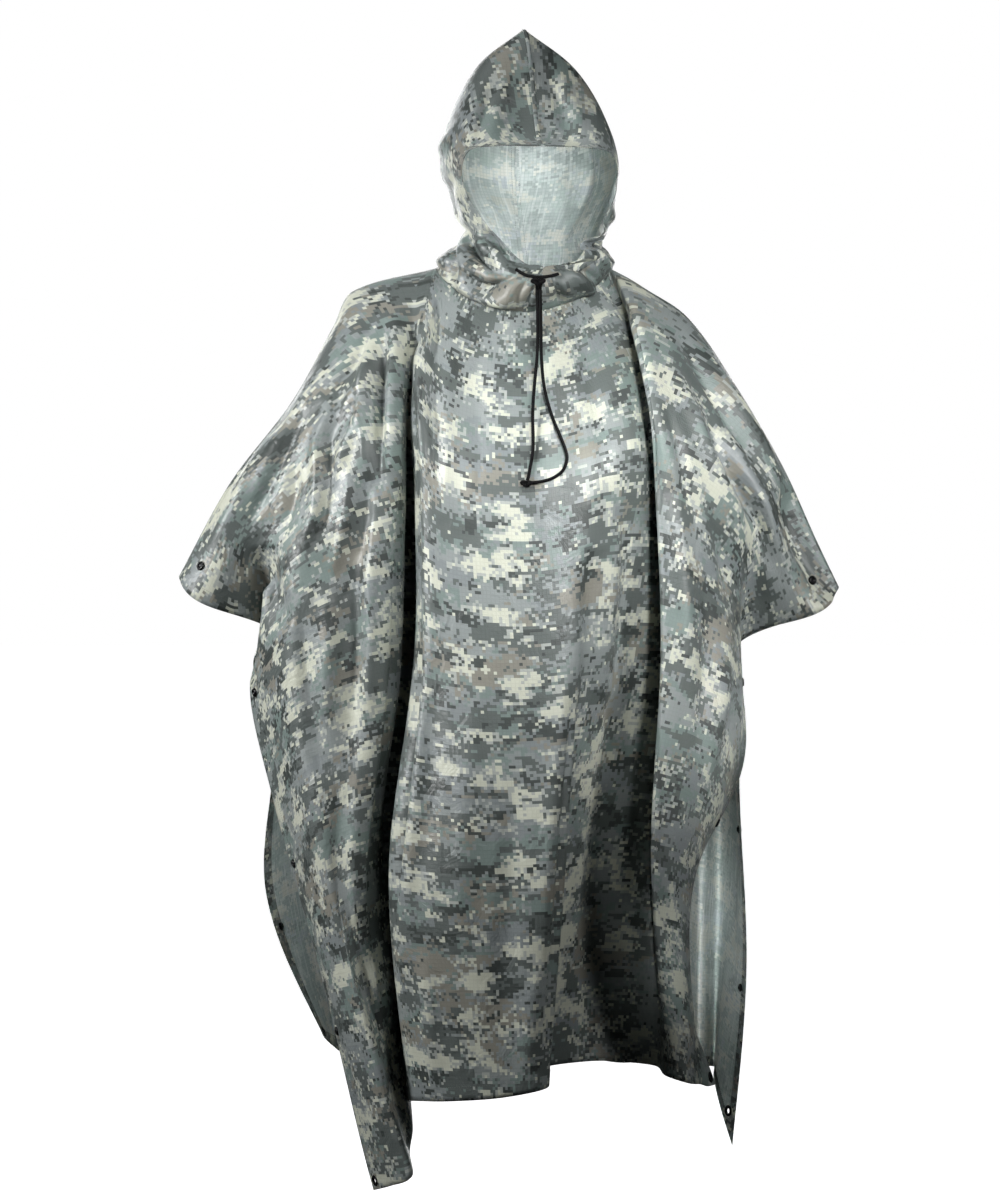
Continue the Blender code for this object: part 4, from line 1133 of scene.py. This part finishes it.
def front_of(spot, reach):
    """The y of the front of the cloth at an (x, z) spot, over reach to each side; 0 where there is none."""
    found = [
        cloth.evaluated_get(graph).ray_cast(Vector((spot[0] + aside, -1, spot[1])), Vector((0, 1, 0)))
        for cloth in chest_cloths
        for aside in (-reach, 0, reach)
    ]
    return min((place.y for hit, place, _, _ in found if hit), default=0.0)


def smooth(points, step):
    """The centripetal curve through points, as points a step apart."""
    made = []
    for i in range(len(points) - 1):
        count = max(round((points[i + 1] - points[i]).length / step), 1)
        made += [between(points, i, k / count) for k in range(count)]
    return made + [points[-1]]


def draped(path):
    """Points of a taut cord along an (x, z) path, on the front of the cloth behind it."""
    flat = smooth([Vector(spot) for spot in path], CORD_STEP)
    fronts = [front_of(spot, CORD_RADIUS) for spot in flat]
    count = len(flat)
    taut = [
        min(
            fronts[j] + (fronts[k] - fronts[j]) * (i - j) / max(k - j, 1)
            for j in range(i + 1)
            for k in range(i, count)
        )
        for i in range(count)
    ]
    out = CORD_RADIUS + CORD_CLEAR
    return [Vector((spot.x, y - out, spot.y)) for spot, y in zip(flat, taut)]


def knot_centre(spot, half_sizes):
    """The middle of a knot that lies on the front of the cloth behind an (x, z) spot."""
    width, depth, height = half_sizes
    behind = min(front_of((spot[0], spot[1] + up), width / 2) for up in (-height / 2, 0, height / 2))
    return Vector((spot[0], behind - depth, spot[1]))


def add_braid(name, route, radius, look):
    """A braided cord as a tube along a route, its surface raised where strands cross over."""
    path = smooth(route, BRAID_STEP)
    sides = STRANDS * 2
    bm = bmesh.new()
    rings = []
    aside = Vector((0, 0, 1)) if abs((path[1] - path[0]).normalized().z) < 0.9 else Vector((1, 0, 0))
    gone = 0.0
    for i, spot in enumerate(path):
        ahead = (path[min(i + 1, len(path) - 1)] - path[max(i - 1, 0)]).normalized()
        aside = (aside - ahead * aside.dot(ahead)).normalized()
        up = ahead.cross(aside)
        gone += (spot - path[max(i - 1, 0)]).length
        ring = []
        for k in range(sides):
            angle = 2 * math.pi * k / sides
            twist = 2 * math.pi * gone / BRAID_PITCH
            weave = math.cos(STRANDS / 2 * (angle + twist)) * math.cos(STRANDS / 2 * (angle - twist))
            reach = radius + BRAID_RELIEF * weave
            ring.append(bm.verts.new(spot + (aside * math.cos(angle) + up * math.sin(angle)) * reach))
        rings.append(ring)
    for ring, following in zip(rings, rings[1:]):
        for k in range(sides):
            bm.faces.new((ring[k], ring[(k + 1) % sides], following[(k + 1) % sides], following[k]))
    bm.faces.new(rings[0][::-1])
    bm.faces.new(rings[-1])
    mesh = bpy.data.meshes.new(name)
    bm.to_mesh(mesh)
    bm.free()
    return add_piece(name, mesh, [look])


def braided_polyester():
    """Polyester yarn, braided: matt black, flecked with a faint dry grey."""
    made, tree, shader = new_material("braided_polyester")
    place = add_node(tree, "TexCoord", {}, {})
    fuzz = add_node(tree, "TexNoise", {},
                    {"Vector": place.outputs["Object"], "Scale": 900.0, "Detail": 2.0})
    raised = add_node(tree, "Bump", {}, {"Strength": 0.5, "Distance": 0.0002, "Height": fuzz})
    set_sockets(tree, shader, {
        "Base Color": blend(tree, fuzz, colour("#040405"), colour("#111112")), "Normal": raised,
        "Roughness": 0.8, "Specular IOR Level": 0.15,
    })
    return made


def knotted(centre, half_sizes):
    """The route of a cord pulled into a knot: three loops through each other, flattened on the cloth."""
    width, depth, height = (half - KNOT_INSET for half in half_sizes)
    route = []
    for k in range(KNOT_STEPS + 1):
        t = 2 * math.pi * k / KNOT_STEPS
        x = (math.sin(t) + 2 * math.sin(2 * t)) / 3
        z = (math.cos(t) - 2 * math.cos(2 * t)) / 3
        y = -math.sin(3 * t)
        route.append(centre + Vector((x * width, y * depth, z * height)))
    return route


yarn = braided_polyester()
chin_centre = knot_centre(CHIN_KNOT, CHIN_KNOT_HALF)
end_centre = knot_centre(END_KNOT, END_KNOT_HALF)
chin_knot = add_braid("chin_knot_cord", knotted(chin_centre, CHIN_KNOT_HALF), CORD_RADIUS, yarn)
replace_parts(chin_knot, "chin_knot")
end_knot = add_braid("end_knot_cord", knotted(end_centre, END_KNOT_HALF), CORD_RADIUS, yarn)
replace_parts(end_knot, "end_knot")
chin_cord = add_braid("chin_cord_braid", draped(CHIN_CORD), CORD_RADIUS, yarn)
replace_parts(chin_cord, "chin_cord")
for side_name, route in (("left", DRAWSTRING_LEFT), ("right", DRAWSTRING_RIGHT)):
    points = draped(route)
    exit_height = chin_centre.z - CHIN_KNOT_HALF[2] * KNOT_EXIT
    points.insert(0, Vector((points[0].x, chin_centre.y, exit_height)))
    points.append(end_centre.lerp(points[-1], 0.5))
    free_end = add_braid(f"drawstring_{side_name}_end", points, CORD_RADIUS, yarn)
    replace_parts(free_end, f"drawstring_{side_name}")


# ---- Press studs. Black-lacquered brass caps, spun round, with a rolled rim and a sunk middle, riveted
# through the side hems to a ring on the inside of the cloth.
SNAPS_A_SIDE = 4
# Profiles are (radius, height) points, up from the face of the cloth that they sit on.
CAP_PROFILE = (
    (0.0000, 0.0010), (0.0016, 0.0010), (0.0022, 0.0013), (0.0028, 0.0022), (0.0034, 0.0027),
    (0.0042, 0.0028), (0.0050, 0.0025), (0.0057, 0.0018), (0.0061, 0.0010), (0.0062, 0.0004),
    (0.0060, 0.0000), (0.0000, 0.0000),
)
STUD_PROFILE = (
    (0.0000, -0.0006), (0.0018, -0.0006), (0.0020, -0.0019), (0.0028, -0.0022), (0.0034, -0.0016),
    (0.0036, -0.0009), (0.0052, -0.0008), (0.0056, -0.0003), (0.0054, 0.0000), (0.0000, 0.0000),
)


def lacquered_brass():
    """Dipped lacquer over brass: deep black and glossy, rubbed grey and duller in scattered spots."""
    made, tree, shader = new_material("black_lacquered_brass")
    place = add_node(tree, "TexCoord", {}, {})
    rubbed = add_node(tree, "TexNoise", {},
                      {"Vector": place.outputs["Object"], "Scale": 420.0, "Detail": 4.0})
    worn = add_node(tree, "MapRange", {}, {"Value": rubbed, "From Min": 0.58, "From Max": 0.70})
    gloss = add_node(tree, "MapRange", {}, {"Value": rubbed, "To Min": 0.22, "To Max": 0.46})
    tone = blend(tree, worn, colour("#131416"), colour("#5B5A55"))
    set_sockets(tree, shader, {"Base Color": tone, "Roughness": gloss, "Metallic": 0.6})
    return made


def add_turned(name, profiles, seat, look):
    """One piece of closed rings or discs, each turned from (radius, height) points about the seat's +Z."""
    sides = 40
    bm = bmesh.new()
    for profile in profiles:
        rings = []
        for k in range(sides):
            angle = 2 * math.pi * k / sides
            spots = [Vector((r * math.cos(angle), r * math.sin(angle), z)) for r, z in profile]
            rings.append([bm.verts.new(seat @ spot) for spot in spots])
        for ring, following in zip(rings, rings[1:] + rings[:1]):
            for i in range(len(profile)):
                j = (i + 1) % len(profile)
                bm.faces.new((ring[i], following[i], following[j], ring[j]))
    bmesh.ops.remove_doubles(bm, verts=bm.verts, dist=1e-6)
    bmesh.ops.recalc_face_normals(bm, faces=bm.faces)
    mesh = bpy.data.meshes.new(name)
    bm.to_mesh(mesh)
    bm.free()
    return add_piece(name, mesh, [look])


def seat_near(node, points, normal):
    """The place on the cloth's inner face nearest to a solid's, with its +Z to the cloth's outer side."""
    low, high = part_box(node)
    middle = (np.array(low) + np.array(high)) / 2
    away = np.linalg.norm(points - middle, axis=-1)
    nearest = np.unravel_index(away.argmin(), away.shape)
    out = normal[nearest]
    on_cloth = middle - out * ((middle - points[nearest]) @ out)
    turn = Vector(out).to_track_quat("Z", "Y").to_matrix().to_4x4()
    return Matrix.Translation(on_cloth) @ turn


lacquer = lacquered_brass()
panels = (("front", front_points, front_normal), ("back", back_points, back_normal))
on_outer = [(r, z + CLOTH_THICKNESS) for r, z in CAP_PROFILE]
for panel_name, points, normal in panels:
    for side_name in ("left", "right"):
        for number in range(1, SNAPS_A_SIDE + 1):
            node = f"snap_{panel_name}_{side_name}_{number}"
            seat = seat_near(node, points, normal)
            stud = add_turned(node + "_stud", (on_outer, STUD_PROFILE), seat, lacquer)
            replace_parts(stud, node)


# ---- Eyelets. A two-part brass ring through each lower corner, so that the panels can be tied down or
# laced: a flanged barrel is pushed through a punched hole and rolled over a washer on the inside.
EYELET_PROFILE = (
    (0.0036, -0.0006), (0.0038, -0.0011), (0.0044, -0.0014), (0.0058, -0.0012), (0.0072, -0.0007),
    (0.0075, -0.0002), (0.0072, 0.0000), (0.0046, 0.0000), (0.0046, 0.0008), (0.0072, 0.0008),
    (0.0075, 0.0011), (0.0070, 0.0017), (0.0056, 0.0022), (0.0044, 0.0022), (0.0038, 0.0018),
    (0.0036, 0.0012),
)
PUNCHED = 0.0052  # the hole's radius
FINER_WITHIN = 0.012  # from the hole's middle


def punch(cloth, centre):
    """Makes a round hole in a sheet, in finer faces than its own."""
    bm = bmesh.new()
    bm.from_mesh(cloth.data)
    around = [f for f in bm.faces if (f.calc_center_median() - centre).length < FINER_WITHIN]
    edges = list({edge for face in around for edge in face.edges})
    bmesh.ops.subdivide_edges(bm, edges=edges, cuts=7, use_grid_fill=True)
    hole = [f for f in bm.faces if (f.calc_center_median() - centre).length < PUNCHED]
    bmesh.ops.delete(bm, geom=hole, context="FACES")
    bm.to_mesh(cloth.data)
    bm.free()


for (panel_name, points, normal), cloth in zip(panels, (front_cloth, back_cloth)):
    for side_name in ("left", "right"):
        node = f"eyelet_{panel_name}_{side_name}"
        seat = seat_near(node, points, normal)
        punch(cloth, seat.translation)
        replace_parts(add_turned(node + "_ring", (EYELET_PROFILE,), seat, lacquer), node)
